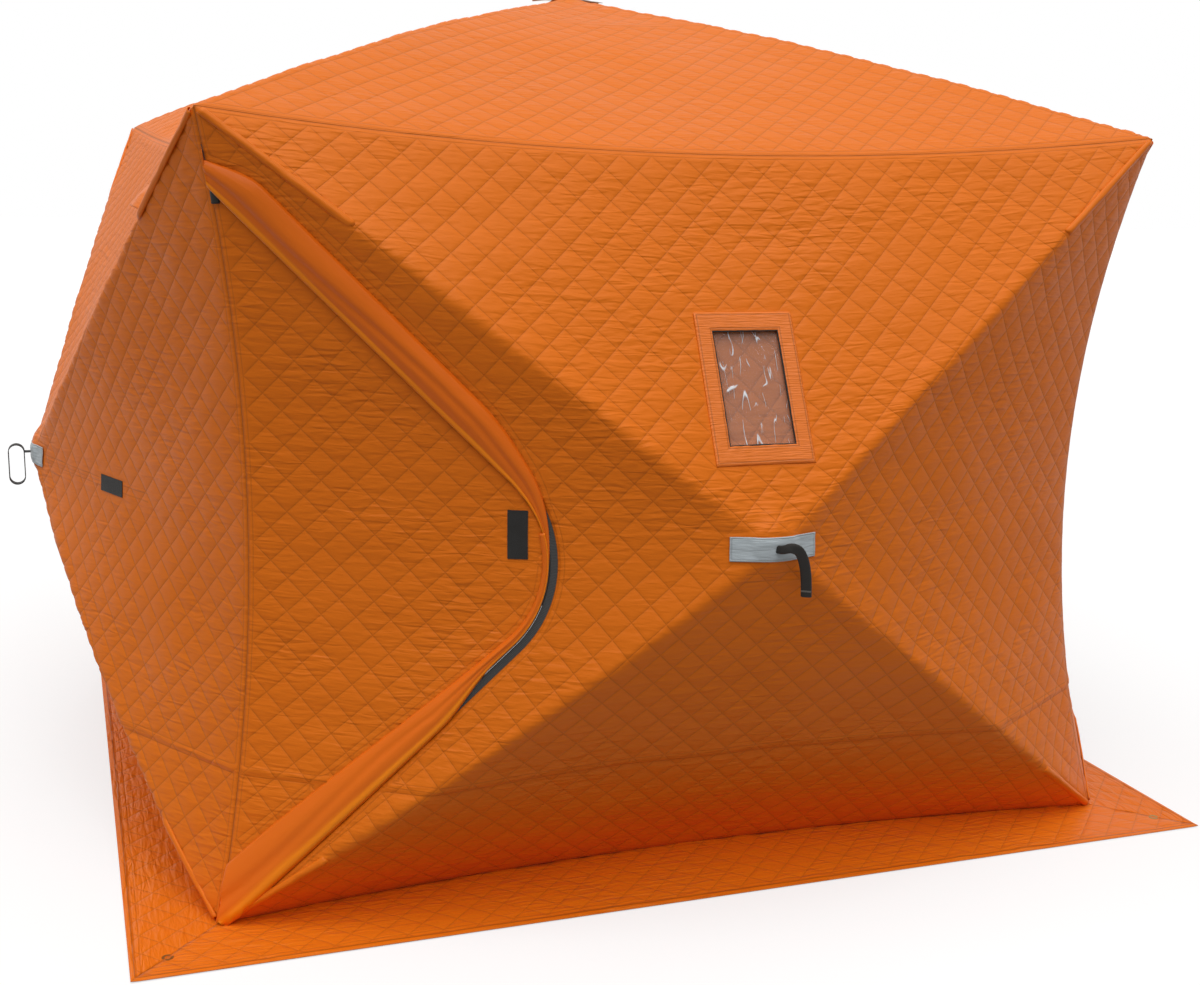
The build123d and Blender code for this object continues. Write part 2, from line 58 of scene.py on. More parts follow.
WALLS = {"front": 0.0, "right": 90.0, "back": 180.0, "left": 270.0}
SIDES = ("top", "right", "bottom", "left")
DIAGONAL = math.sqrt(0.5)
DIAMOND = 0.0535                          # side of a quilted diamond
HALF_ACROSS, HALF_UP = 1.14, 0.9          # a wall's cloth from its middle to a border, along the cloth
STITCH, SECOND_STITCH = 0.0035, 0.0125    # lines of stitches, in from a sewn edge
SEAM_LINES = (-0.9965, -0.990, 0.990, 0.9965)       # extra grid lines beside the seams, in a or b
BAND_LINES = (-0.008, -0.002, 0.005, 0.012)         # and round the sewn band, in b
BAND_STITCH = 0.003                       # the band's stitches, above its middle
ROOF_HALF = 1.1                           # half the roof's cloth
LEFT_SEAM = (0.095, 0.654)                # the seam on the left wall, from its hub patch towards the corner
ROOF_RING = 0.26                          # the seam round the roof's hub, in a or b
HUB_TAPE = (0.095, 0.025)                 # half a hub patch, across and up
STRAP_SEAM = 0.062                        # the short seams above and below a hub
VENT_HALF = (0.075, 0.022)                # half the vent's hole, across and up
DOOR_HOOK = (-0.493, 0.845, 0.023, 0.054)     # the door's hook tape: its middle, and half of it across and up
WALL_HOOK = (0.488, 0.828, 0.054, 0.023)      # and the one that ties the door back, on the left wall
CAP_RADIUS = 0.04                         # a hub's moulded cap
FLAP_CLOTH = 0.0015                       # thickness of the flaps' cloth


def length(name, default, description):
    """A property in metres."""
    return FloatProperty(name=name, default=default, description=description, unit="LENGTH", precision=4)


def hex_colour(name, code, description):
    """A colour property, written as sRGB hex."""
    return FloatVectorProperty(name=name, default=linear(code), size=3, min=0.0, max=1.0,
                               subtype="COLOR", description=description)


def linear(code):
    """An sRGB hex value as linear red, green and blue."""
    parts = [int(code[i:i + 2], 16) / 255 for i in (0, 2, 4)]
    return [c / 12.92 if c <= 0.04045 else ((c + 0.055) / 1.055) ** 2.4 for c in parts]


class ShelterSizes(bpy.types.PropertyGroup):
    """Sizes of the tent, its openings and its fittings, the same as the frame's."""
    floor_half: length("Half floor", 1.09, "Centre line to a floor corner")
    corner_height: length("Corner height", 1.67, "Ground to a roof corner")
    hub_reach: length("Hub reach", 1.424, "Centre line to the tip of a wall")
    hub_height: length("Hub height", 0.828, "Ground to a wall hub")
    roof_height: length("Roof height", 2.02, "Ground to the roof hub")
    seam_pull: length("Corner seam pull", 0.128, "Corner seams, pulled in at mid height")
    eave_pull: length("Eave pull", 0.09, "Roof edge seams, pulled in and down")
    floor_pull: length("Floor edge pull", 0.085, "Floor edges, pulled in along the ground")
    upper_bow: length("Upper bow", 0.009, "Wall poles above the hub, pushed out")
    lower_bow: length("Lower bow", 0.044, "Wall poles below the hub, pushed out")
    roof_bow: length("Roof bow", 0.024, "Roof poles, pushed up")
    hub_opening: length("Hub opening", 0.046, "Hub centre to the cut corners of the cloth")
    cloth: length("Cloth", 0.004, "Thickness of the quilted cloth")
    skirt_width: length("Skirt width", 0.185, "Ground skirt, square to a wall")
    skirt_thickness: length("Skirt thickness", 0.003, "Ground skirt and its hem")
    door_nose: length("Door nose", 0.339, "Centre plane to where the door's slanting sides would meet")
    door_nose_height: length("Door nose height", 0.792, "Ground to the door's nose")
    door_nose_r: length("Door nose radius", 0.245, "Radius of the door's nose")
    door_gap: length("Door gap", 0.006, "Gap round the door, where the zip's teeth are")
    zip_width: length("Zip tape", 0.012, "Woven tape of the zip on the wall's side")
    door_hinge_side: length("Door hinge side", 0.962, "Centre plane to the stiff part of the door")
    window_width: length("Window width", 0.15, "Clear width of a window")
    window_height: length("Window height", 0.24, "Clear height of a window along the slope")
    window_low: length("Window sill", 0.196, "Hub to the window's lower edge")
    vent_width: length("Vent width", 0.24, "Vent hood along the wall")
    vent_height: length("Vent height", 0.65, "Hub to the middle of a vent")
    band_height: length("Band height", 0.315, "Ground to the sewn band round the walls")


class QuiltLook(bpy.types.PropertyGroup):
    """The quilting and its relief."""
    cells_across: IntProperty(name="Diamonds across", default=30, min=4,
                              description="Quilted diamonds across a wall")
    cells_up: IntProperty(name="Diamonds up", default=24, min=4, description="Quilted diamonds up a wall")
    roof_cells: IntProperty(name="Roof diamonds", default=31, min=4,
                            description="Quilted diamonds across the roof")
    steps: IntProperty(name="Steps", default=6, min=2, description="Mesh steps in one diamond")
    puff: length("Puff", 0.0019, "How far a diamond stands up between its stitches")
    ridge_soft: length("Ridge softness", 0.008, "Half width of the rounding over a pole")


class ClothColours(bpy.types.PropertyGroup):
    """Colours of the cloths and trims."""
    shell: hex_colour("Shell", "EA760E", "Orange quilted polyester")
    flap: hex_colour("Flap", "EE7212", "Smooth nylon of the flaps")
    # Painted light: brighter than the flap, standing for light that shines through its thin rolled edge.
    piping: hex_colour("Rolled edge", "FA8A10", "Bright folded edge of the flaps")
    lining: hex_colour("Lining", "B8620F", "Inside of the cloth")
    patch: hex_colour("Hub patch", "B9C2C6", "Grey reflective tape")
    webbing: hex_colour("Webbing", "16130F", "Black polypropylene webbing")


# ---- arrays --------------------------------------------------------------------------------------

def unit(v):
    """Vectors divided by their lengths."""
    return v / np.maximum(np.linalg.norm(v, axis=-1, keepdims=True), 1e-12)


def turned(points, degrees):
    """The points turned about Z."""
    c, s = math.cos(math.radians(degrees)), math.sin(math.radians(degrees))
    x, y, z = np.moveaxis(points, -1, 0)
    return np.stack([c * x - s * y, s * x + c * y, z], -1)


def smooth(low, high, x):
    """0 below low, 1 above high and an S curve between, which may fall when high is under low."""
    t = np.clip((x - low) / (high - low), 0, 1)
    return t * t * (3 - 2 * t)


def noise(x, y, seed):
    """Smooth random heights from -1 to 1 with one knot for each unit of x and y, faded by S curves."""
    table = np.random.default_rng(seed).uniform(-1, 1, (64, 64))
    i, j = np.floor(x).astype(int), np.floor(y).astype(int)
    u, v = smooth(0, 1, x - i), smooth(0, 1, y - j)
    i0, i1, j0, j1 = i % 64, (i + 1) % 64, j % 64, (j + 1) % 64
    low = table[i0, j0] * (1 - u) + table[i1, j0] * u
    high = table[i0, j1] * (1 - u) + table[i1, j1] * u
    return low * (1 - v) + high * v


def bernstein(t):
    """The three weights of a quadratic Bezier curve at t."""
    return np.stack([(1 - t) ** 2, 2 * t * (1 - t), t * t], -1)


def net_point(net, u, v):
    """A point of a 3 x 3 Bezier net: the rows weighted by v and the points in a row by u."""
    return np.einsum("...i,...j,ijk->...k", bernstein(v), bernstein(u), net)


class Skin:
    """The outside of the stretched cloth: five kinds of Bezier facet between hubs, poles and seams."""

    def __init__(self, s):
        """The hub tips and corners, then each facet's net between two poles and a seam."""
        self.s = s
        h = s.floor_half
        self.tip = np.array([0, -s.hub_reach, s.hub_height])
        self.top = np.array([0, 0, s.roof_height])
        self.corner = {
            "floor_left": np.array([-h, -h, s.skirt_thickness]),
                       "floor_right": np.array([h, -h, s.skirt_thickness]),
            "roof_left": np.array([-h, -h, s.corner_height]),
                       "roof_right": np.array([h, -h, s.corner_height]),
        }
        ends = {"top": ("roof_left", "roof_right"), "bottom": ("floor_left", "floor_right"),
                "left": ("floor_left", "roof_left"), "right": ("floor_right", "roof_right")}
        self.normals = {side: self.flat_normal(self.tip, *pair) for side, pair in ends.items()}
        roof_normal = self.flat_normal(self.top, "roof_left", "roof_right")
        poles, roof_poles = {}, {}
        for height, bow, edge in (("roof", s.upper_bow, "top"), ("floor", s.lower_bow, "bottom")):
            for side in ("left", "right"):
                faces = self.normals[edge], self.normals[side]
                poles[f"{height}_{side}"], self.start = self.pole(self.tip, f"{height}_{side}", *faces, bow)
        for side, turn in (("left", -90), ("right", 90)):
            faces = roof_normal, turned(roof_normal, turn)
            pole = self.pole(self.top, "roof_" + side, *faces, s.roof_bow)
            roof_poles["roof_" + side], self.roof_start = pole
        d = DIAGONAL
        pulls = {"top": np.array([0, d, -d]) * s.eave_pull, "bottom": np.array([0, 1, 0]) * s.floor_pull,
                 "left": np.array([d, d, 0]) * s.seam_pull, "right": np.array([-d, d, 0]) * s.seam_pull}
        self.nets = {}
        for side, (a, b) in ends.items():
            self.nets[side] = self.net(poles[a], poles[b], self.seam(a, b, pulls[side]))
        self.nets["roof"] = self.net(roof_poles["roof_left"], roof_poles["roof_right"],
                                     self.seam("roof_left", "roof_right", pulls["top"]))

    def flat_normal(self, tip, a, b):
        """The outward normal of the plane through a hub tip and two corners."""
        a, b = self.corner[a], self.corner[b]
        normal = unit(np.cross(a - tip, b - tip))
        outward = (tip + a + b) / 3 - np.array([0, 0, self.s.hub_height])
        return normal if normal @ outward > 0 else -normal

    def pole(self, tip, corner, face_a, face_b, bow):
        """The ridge over a pole: a parabola from the hub, bowed out by bow, begun at the hub opening."""
        corner = self.corner[corner]
        along, ridge = unit(corner - tip), unit(face_a + face_b)
        outward = unit(ridge - along * (ridge @ along))
        middle = (tip + corner) / 2 + outward * 2 * bow
        t = self.s.hub_opening / np.linalg.norm(corner - tip)
        start = tip * (1 - t) ** 2 + middle * 2 * t * (1 - t) + corner * t * t
        return np.array([start, middle * (1 - t) + corner * t, corner]), t

    def seam(self, a, b, pull):
        """A seam between two corners: a parabola whose middle is moved by pull."""
        a, b = self.corner[a], self.corner[b]
        return np.array([a, (a + b) / 2 + 2 * pull, b])

    def net(self, left, right, edge):
        """A facet's nine points: its poles at both sides, its seam at the end, and half the seam's sag
        between."""
        sag = edge[1] - (edge[0] + edge[2]) / 2
        return np.array([[left[0], (left[0] + right[0]) / 2, right[0]],
                         [left[1], (left[1] + right[1]) / 2 + sag / 2, right[1]], edge])

    def sharp(self, a, b, roof):
        """A point of the front wall, or of the roof, for a and b from -1 to 1 across and up the cloth.
        The larger of |a| and |b| says how far from the hub, and the smaller where along the facet."""
        m = np.maximum(np.maximum(np.abs(a), np.abs(b)), 1e-9)
        tip, first = (self.top, self.roof_start) if roof else (self.tip, self.start)
        v = np.clip((m - first) / (1 - first), 0, 1)
        upright = np.abs(b) >= np.abs(a)
        if roof:
            facets = ((upright & (b < 0), a, "roof", 0), (~upright & (a >= 0), b, "roof", 90),
                      (upright & (b >= 0), -a, "roof", 180), (~upright & (a < 0), -b, "roof", 270))
        else:
            facets = ((upright & (b >= 0), a, "top", 0), (upright & (b < 0), a, "bottom", 0),
                      (~upright & (a < 0), b, "left", 0), (~upright & (a >= 0), b, "right", 0))
        out = np.zeros(a.shape + (3,))
        for mask, along, net, turn in facets:
            u = (along[mask] / m[mask] + 1) / 2
            out[mask] = turned(net_point(self.nets[net], u, v[mask]), turn)
        return tip + (out - tip) * np.clip(m / first, 0, 1)[..., None]

    def point(self, a, b, roof=False, soft=0.0):
        """A point of the cloth, averaged over a small square so that it rounds over the poles."""
        reach = np.minimum(soft, np.minimum(1 - np.abs(a), 1 - np.abs(b)).clip(0))
        total = 0
        for i, wi in ((-1, 0.25), (0, 0.5), (1, 0.25)):
            for j, wj in ((-1, 0.25), (0, 0.5), (1, 0.25)):
                total = total + wi * wj * self.sharp(a + i * reach, b + j * reach, roof)
        return total

    def ab_of(self, x, z):
        """Newton's method for the a and b of points given across and up the front view."""
        s = self.s
        a, b = x / s.floor_half, (z - s.hub_height) / (s.corner_height - s.hub_height)
        step = 1e-4
        for _ in range(14):
            p = self.sharp(a, b, False)
            pa = (self.sharp(a + step, b, False) - p) / step
            pb = (self.sharp(a, b + step, False) - p) / step
            dx, dz = x - p[..., 0], z - p[..., 2]
            det = np.maximum(pa[..., 0] * pb[..., 2] - pb[..., 0] * pa[..., 2], 0.3)
            a = np.clip(a + np.clip((dx * pb[..., 2] - dz * pb[..., 0]) / det, -0.05, 0.05), -1, 1 - step)
            b = np.clip(b + np.clip((dz * pa[..., 0] - dx * pa[..., 2]) / det, -0.05, 0.05), -1, 1 - step)
        return a, b

    def lay(self, x, z, lift):
        """Points on the front wall at x and z of the front view, raised by lift along its normal."""
        a, b = self.ab_of(x, z)
        step = 2e-3
        p = self.point(a, b)
        pa = self.sharp(np.clip(a + step, -1, 1), b, False) - self.sharp(np.clip(a - step, -1, 1), b, False)
        pb = self.sharp(a, np.clip(b + step, -1, 1), False) - self.sharp(a, np.clip(b - step, -1, 1), False)
        normal = unit(np.cross(pa, pb))
        return p + normal * np.asarray(lift)[..., None]


# ---- meshes --------------------------------------------------------------------------------------

def add_mesh(name, points, faces, uv=None, values=None):
    """A smooth-shaded mesh object from arrays: points, faces, a UV pair a point and named numbers a point."""
    points = np.asarray(points, float).reshape(-1, 3)
    faces = np.asarray(faces)
    used, inverse = np.unique(faces, return_inverse=True)
    faces = inverse.reshape(faces.shape)
    mesh = bpy.data.meshes.new(name)
    mesh.from_pydata(points[used].tolist(), [], faces.tolist())
    mesh.shade_smooth()
    loops = np.zeros(len(mesh.loops), int)
    mesh.loops.foreach_get("vertex_index", loops)
    if uv is not None:
        layer = mesh.uv_layers.new(name="cloth")
        layer.data.foreach_set("uv", np.asarray(uv, float).reshape(-1, 2)[used][loops].ravel())
    for key, value in (values or {}).items():
        layer = mesh.attributes.new(key, "FLOAT", "POINT")
        layer.data.foreach_set("value", np.asarray(value, float).ravel()[used])
    piece = bpy.data.objects.new(name, mesh)
    bpy.context.scene.collection.objects.link(piece)
    return piece


def quads(rows, columns, around=False, closed=False):
    """Faces of a grid of rows x columns points. The columns close into a ring with around, the rows with
    closed."""
    i = np.arange(rows if closed else rows - 1)
    j = np.arange(columns if around else columns - 1)
    i, j = np.meshgrid(i, j, indexing="ij")
    k, m = (i + 1) % rows, (j + 1) % columns
    return np.stack([i * columns + j, k * columns + j, k * columns + m, i * columns + m], -1).reshape(-1, 4)


def grid_edges(shape, main):
    """The triangles and edges of a grid whose quads are split along their main or their other diagonal."""
    index = np.arange(shape[0] * shape[1]).reshape(shape)
    a, b, c, d = index[:-1, :-1], index[1:, :-1], index[1:, 1:], index[:-1, 1:]
    first = np.where(main[..., None], np.stack([a, b, c], -1), np.stack([a, b, d], -1))
    second = np.where(main[..., None], np.stack([a, c, d], -1), np.stack([b, c, d], -1))
    triangles = np.concatenate([first.reshape(-1, 3), second.reshape(-1, 3)])
    edges = np.concatenate([triangles[:, [0, 1]], triangles[:, [1, 2]], triangles[:, [2, 0]]])
    return triangles, np.unique(np.sort(edges, 1), axis=0)


def cut(a, b, field, edges):
    """Moves the nearer end of each mesh edge that the line field = 0 crosses onto that line, by Newton's
    method."""
    flat_a, flat_b = a.ravel().copy(), b.ravel().copy()
    f = field(flat_a, flat_b)
    ends = f[edges]
    crossing = ends[:, 0] * ends[:, 1] < 0
    nearer = np.argmin(np.abs(ends[crossing]), 1)
    pick = np.unique(edges[crossing][np.arange(nearer.size), nearer])
    if pick.size == 0:
        return a, b, f
    step = 1e-5
    free_a, free_b = np.abs(flat_a[pick]) < 1, np.abs(flat_b[pick]) < 1
    for _ in range(6):
        at = field(flat_a[pick], flat_b[pick])
        fa = (field(flat_a[pick] - step, flat_b[pick]) - at) / -step * free_a
        fb = (field(flat_a[pick], flat_b[pick] - step) - at) / -step * free_b
        scale = at / np.maximum(fa**2 + fb**2, 1e-9)
        flat_a[pick] = np.clip(flat_a[pick] - scale * fa, -1, 1)
        flat_b[pick] = np.clip(flat_b[pick] - scale * fb, -1, 1)
    f[pick] = 0
    return flat_a.reshape(a.shape), flat_b.reshape(b.shape), f


def lines(low, high, cells, steps, extra=()):
    """Grid lines from low to high, steps to a quilted diamond, with extra lines near seams in place of
    close ones."""
    count = int(round((high - low) * cells * steps / 2))
    regular = np.linspace(low, high, count + 1)
    gap = (high - low) / count * 0.35
    ends = (regular == regular[0]) | (regular == regular[-1])
    for value in extra:
        keep = (np.abs(regular - value) > gap) | ends
        regular, ends = regular[keep], ends[keep]
    return np.unique(np.concatenate([regular, np.asarray(extra, float)]))


def diamond(p, q):
    """Height from 0 on the stitches to 1 in the middle of a diamond, flat on top and steep at the
    stitches."""
    rise = [1 - np.abs(2 * (t - np.floor(t)) - 1) ** 2.6 for t in (p, q)]
    return rise[0] * rise[1]


class Quilt:
    """A quilted sheet on the skin: a grid in a and b, cut to shape and raised by its relief."""

    def __init__(self, skin, look, across, up, roof=False, phase=(0.0, 0.0), holes=()):
        """Splits each quad along the stitches nearest to it, cuts the holes and finds the skin's normals."""
        self.cells = (look.roof_cells, look.roof_cells) if roof else (look.cells_across, look.cells_up)
        self.phase = phase
        a, b = np.meshgrid(across, up, indexing="ij")
        p, q = self.stitches(a, b)
        off_p = np.abs((p[1:, :-1] + p[:-1, 1:]) / 2 - np.round((p[1:, :-1] + p[:-1, 1:]) / 2))
        off_q = np.abs((q[:-1, :-1] + q[1:, 1:]) / 2 - np.round((q[:-1, :-1] + q[1:, 1:]) / 2))
        self.triangles, edges = grid_edges(a.shape, off_q < off_p)
        kept = np.ones(len(self.triangles), bool)
        for field in holes:
            a, b, f = cut(a, b, field, edges)
            corner = f[self.triangles]
            middle = field(a.ravel()[self.triangles].mean(1), b.ravel()[self.triangles].mean(1))
            side = np.where(np.abs(corner).max(1) > 0, corner.sum(1), middle)
            kept &= side > 0
        self.triangles = self.triangles[kept]
        self.a, self.b = a, b
        self.base = skin.point(a, b, roof, look.ridge_soft)
        along, rise = np.gradient(self.base, axis=0), np.gradient(self.base, axis=1)
        self.normal = unit(np.cross(along, rise))

    def stitches(self, a, b):
        """Two numbers that are whole on the two families of slanting stitch lines."""
        x = (a + 1) / 2 * self.cells[0] + self.phase[0]
        y = (b + 1) / 2 * self.cells[1] + self.phase[1]
        return x + y, x - y

    def uv(self):
        """Cloth coordinates with one unit for a diamond's diagonal."""
        p, q = self.stitches(self.a, self.b)
        return np.stack([(p + q) / 2, (p - q) / 2], -1)


def dress(piece, material, body, replaced=(), lining=None, thickness=0.0, offset=-1.0):
    """Gives a piece its materials and cloth thickness, and ties it to a body of the frame."""
    for m in [material] + ([lining] if lining else []):
        piece.data.materials.append(m)
    if thickness:
        wall = piece.modifiers.new("cloth", "SOLIDIFY")
        wall.thickness, wall.offset = thickness, offset
        wall.material_offset = 1 if lining else 0
    if body:
        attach(piece, body)
    if replaced:
        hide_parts(*replaced)
    return piece


# ---- materials -----------------------------------------------------------------------------------

def add(tree, kind, inputs=None, out=0, **settings):
    """Adds a node, sets its attributes and inputs (a value, or another node's output), and returns an
    output."""
    made = tree.nodes.new("ShaderNode" + kind)
    for key, value in settings.items():
        setattr(made, key, value)
    for key, value in (inputs or {}).items():
        if isinstance(value, bpy.types.NodeSocket):
            tree.links.new(value, made.inputs[key])
        else:
            made.inputs[key].default_value = value
    return made.outputs[out] if len(made.outputs) else made


COLOUR_MIX = {"data_type": "RGBA", "out": 2}    # a Mix node: input 0 is the share, 6 and 7 the two colours
WEAVE = 0.0009                                  # one thread of the shell's cloth


def material_tree(name):
    """A new node material with no nodes yet."""
    material = bpy.data.materials.new(name)
    material.use_nodes = True
    material.node_tree.nodes.clear()
    return material, material.node_tree


def rgba(colour, share=1.0):
    """A colour with its red, green and blue multiplied by share, and a full alpha."""
    return [c * share for c in colour] + [1.0]


def surface(material, height, strength, inputs):
    """Ends a material: a principled surface with these inputs, its normals tilted by the slope of height."""
    tree = material.node_tree
    bump = add(tree, "Bump", {"Strength": strength, "Distance": 1.0, "Height": height})
    shader = add(tree, "BsdfPrincipled", {**inputs, "Normal": bump})
    add(tree, "OutputMaterial", {"Surface": shader})
    return material


def cloth_space(tree, unit_size=1.0):
    """The piece's own cloth coordinates, multiplied by the size of one unit, as metres across and up."""
    place = add(tree, "UVMap", uv_map="cloth")
    return add(tree, "VectorMath", {0: place, 1: (unit_size, unit_size, 0)}, operation="MULTIPLY")


def relief_noise(tree, place, across, up, detail=2.0, warp=0.0):
    """Random folds of a real size across and up, as heights round zero."""
    scaled = add(tree, "VectorMath", {0: place, 1: (1 / across, 1 / up, 1 / across)}, operation="MULTIPLY")
    rough = add(tree, "TexNoise", {"Vector": scaled, "Scale": 1.0, "Detail": detail, "Distortion": warp})
    return add(tree, "Math", {0: rough, 1: -0.5}, operation="ADD")


def total_height(tree, parts):
    """The sum of heights given as (socket, scale) pairs."""
    total = None
    for socket, scale in parts:
        scaled = add(tree, "Math", {0: socket, 1: scale}, operation="MULTIPLY")
        total = scaled if total is None else add(tree, "Math", {0: total, 1: scaled}, operation="ADD")
    return total


def weave_height(tree, place, thread):
    """Over and under threads: the product of two sines with one period each two threads."""
    split = add(tree, "SeparateXYZ", {0: place})
    waves = []
    for axis in (0, 1):
        turn = add(tree, "Math", {0: split.node.outputs[axis], 1: math.pi / thread}, operation="MULTIPLY")
        waves.append(add(tree, "Math", {0: turn}, operation="SINE"))
    return add(tree, "Math", {0: waves[0], 1: waves[1]}, operation="MULTIPLY")


def near_line(tree, distance, middle, half, soft):
    """1 on a line that lies at distance middle, 0 past half its width, with an edge of width soft."""
    away = add(tree, "Math", {0: distance, 1: middle}, operation="SUBTRACT")
    away = add(tree, "Math", {0: away}, operation="ABSOLUTE")
    return add(tree, "MapRange",
               {"Value": away, "From Min": half, "From Max": half + soft, "To Min": 1.0, "To Max": 0.0},
               interpolation_type="SMOOTHSTEP")


def quilted_cloth(name, colour, cell, roughness=0.5, puckers=1.0):
    """Quilted polyester oxford cloth with a satin coating: light catches its fine puckers, which run across
    between the stitches. Its stitch lines are dark thread, drawn wide enough to paint the shadow of their
    grooves too; painted shade darkens the hollows beside the stitches and a thin line at each sewn edge."""
    material, tree = material_tree(name)
    diagonal = cell / DIAGONAL
    place = cloth_space(tree, diagonal)
    raw = add(tree, "SeparateXYZ", {0: add(tree, "UVMap", uv_map="cloth")})
    x, y = raw.node.outputs[0], raw.node.outputs[1]
    distances = []
    for kind in ("ADD", "SUBTRACT"):
        line = add(tree, "Math", {0: x, 1: y}, operation=kind)
        distances.append(add(tree, "Math", {0: line, 1: 0.5}, operation="PINGPONG"))
    nearest = add(tree, "Math", {0: distances[0], 1: distances[1]}, operation="MINIMUM")
    nearest = add(tree, "Math", {0: nearest, 1: cell}, operation="MULTIPLY")
    hem = add(tree, "Attribute", attribute_name="hem", out=2)
    flat = add(tree, "Attribute", attribute_name="flat", out=2)
    open_cloth = add(tree, "Math", {0: 1.0, 1: flat}, operation="SUBTRACT")
    quilting = add(tree, "Math", {0: near_line(tree, nearest, 0.0, 0.0004, 0.0015), 1: open_cloth},
                   operation="MULTIPLY")
    valley_and_painted_shade = add(tree, "Math", {0: near_line(tree, nearest, 0.0, 0.0, 0.008), 1: open_cloth},
                 operation="MULTIPLY")
    first, second = (near_line(tree, hem, middle, 0.0005, 0.0016) for middle in (STITCH, SECOND_STITCH))
    thread = add(tree, "Math",
                 {0: quilting, 1: add(tree, "Math", {0: first, 1: second}, operation="MAXIMUM")},
                 operation="MAXIMUM")
    patch = relief_noise(tree, place, 0.35, 0.22)
    lively = add(tree, "MapRange",
                 {"Value": patch, "From Min": -0.12, "From Max": 0.16, "To Min": 0.35, "To Max": 1.25})
    fold = relief_noise(tree, place, 0.075, 0.014, detail=1.5, warp=0.5)
    fold = add(tree, "Math", {0: fold, 1: lively}, operation="MULTIPLY")
    crumple = relief_noise(tree, place, 0.030, 0.0080, detail=1.0, warp=0.3)
    heights = [(fold, 0.0044 * puckers), (crumple, 0.0008 * puckers), (thread, -0.0004), (valley_and_painted_shade, -0.0006),
               (weave_height(tree, place, WEAVE), 0.00002)]
    height = total_height(tree, heights)
    wide = relief_noise(tree, place, 0.5, 0.4)
    fleck = relief_noise(tree, place, 0.012, 0.004)
    tone = total_height(tree, [(wide, 0.22), (fleck, 0.14)])
    tone = add(tree, "Math", {0: tone, 1: 0.5}, operation="ADD")
    cloth = add(tree, "Mix", {0: tone, 6: rgba(colour, 0.93), 7: rgba(colour, 1.07)}, **COLOUR_MIX)
    # Painted shade: the cloth is darker in the hollows within 8 mm of the stitch lines, where shade falls.
    cloth = add(tree, "Mix", {0: add(tree, "Math", {0: valley_and_painted_shade, 1: 0.07}, operation="MULTIPLY"), 6: cloth,
                              7: rgba(colour, 0.45)}, **COLOUR_MIX)
    # The stitch lines: dark thread, drawn wider than the thread so that it also paints the shadow in their
    # grooves.
    cloth = add(tree, "Mix", {0: add(tree, "Math", {0: thread, 1: 0.24}, operation="MULTIPLY"), 6: cloth,
                              7: rgba(colour, 0.38)}, **COLOUR_MIX)
    # Painted shade: a thin dark line along each sewn edge, where the cloth tucks in and shade falls.
    seam = near_line(tree, hem, 0.0, 0.0006, 0.0016)
    cloth = add(tree, "Mix", {0: add(tree, "Math", {0: seam, 1: 0.5}, operation="MULTIPLY"), 6: cloth,
                              7: rgba(colour, 0.2)}, **COLOUR_MIX)
    shine = add(tree, "MapRange",
                {"Value": wide, "From Min": -0.2, "From Max": 0.2, "To Min": roughness - 0.05,
                 "To Max": roughness + 0.06})
    return surface(material, height, 1.0,
                   {"Base Color": cloth, "Roughness": shine, "IOR": 1.5, "Specular IOR Level": 0.2,
                    "Sheen Weight": 0.03, "Sheen Roughness": 0.45})


def plain_cloth(name, colour, roughness, folds, across, up, shade=None):
    """Smooth woven cloth with a coating: soft creases of a real size and a fine weave.
    Where the attribute trim is 1 the cloth has the colour shade, a brighter colour that paints the light
    shining through a thin rolled edge."""
    material, tree = material_tree(name)
    place = cloth_space(tree)
    fold = relief_noise(tree, place, across, up, detail=3.0, warp=0.4)
    crumple = relief_noise(tree, place, across * 0.3, up * 0.4)
    height = total_height(tree, [(fold, 0.004 * folds), (crumple, 0.0008 * folds),
                                 (weave_height(tree, place, WEAVE), 0.00003)])
    wide = relief_noise(tree, place, 0.2, 0.1)
    tone = add(tree, "Math", {0: total_height(tree, [(wide, 0.5)]), 1: 0.5}, operation="ADD")
    cloth = add(tree, "Mix", {0: tone, 6: rgba(colour, 0.9), 7: rgba(colour, 1.1)}, **COLOUR_MIX)
    # Painted light: the rolled edge takes a brighter colour, standing for light that shines through the thin
    # cloth.
    if shade:
        cloth = add(tree, "Mix", {0: add(tree, "Attribute", attribute_name="trim", out=2), 6: cloth,
                                  7: rgba(shade)}, **COLOUR_MIX)
    return surface(material, height, 1.0, {"Base Color": cloth, "Roughness": roughness, "IOR": 1.5,
                                           "Specular IOR Level": 0.2, "Sheen Weight": 0.02,
                                           "Sheen Roughness": 0.4})


# ---- cloth of the walls and roof -------------------------------------------------------------------

def door_shape(s):
    """The door's outline on the front view: the apex of the inner wedge, the outward normals and the
    directions of its two sides. The outline lies the nose radius outside that wedge."""
    directions = [unit(np.array([-1.0, slope])) for slope in (1.02, -1.037)]
    normals = [np.array([d[1], -d[0]]) * (1 if d[1] > 0 else -1) for d in directions]
    apex = np.array([-s.door_nose, s.door_nose_height])
    matrix = np.array(normals)
    inner = np.linalg.solve(matrix, matrix @ apex - s.door_nose_r)
    return inner, normals, directions


def door_distance(s, x, z):
    """Distance outside the door's outline on the front view, negative on the leaf."""
    inner, normals, directions = door_shape(s)
    dx, dz = x - inner[0], z - inner[1]
    past = [dx * n[0] + dz * n[1] for n in normals]
    along = [dx * d[0] + dz * d[1] for d in directions]
    round_nose = (along[0] < 0) & (along[1] < 0)
    return np.where(round_nose, np.hypot(dx, dz), np.maximum(*past)) - s.door_nose_r


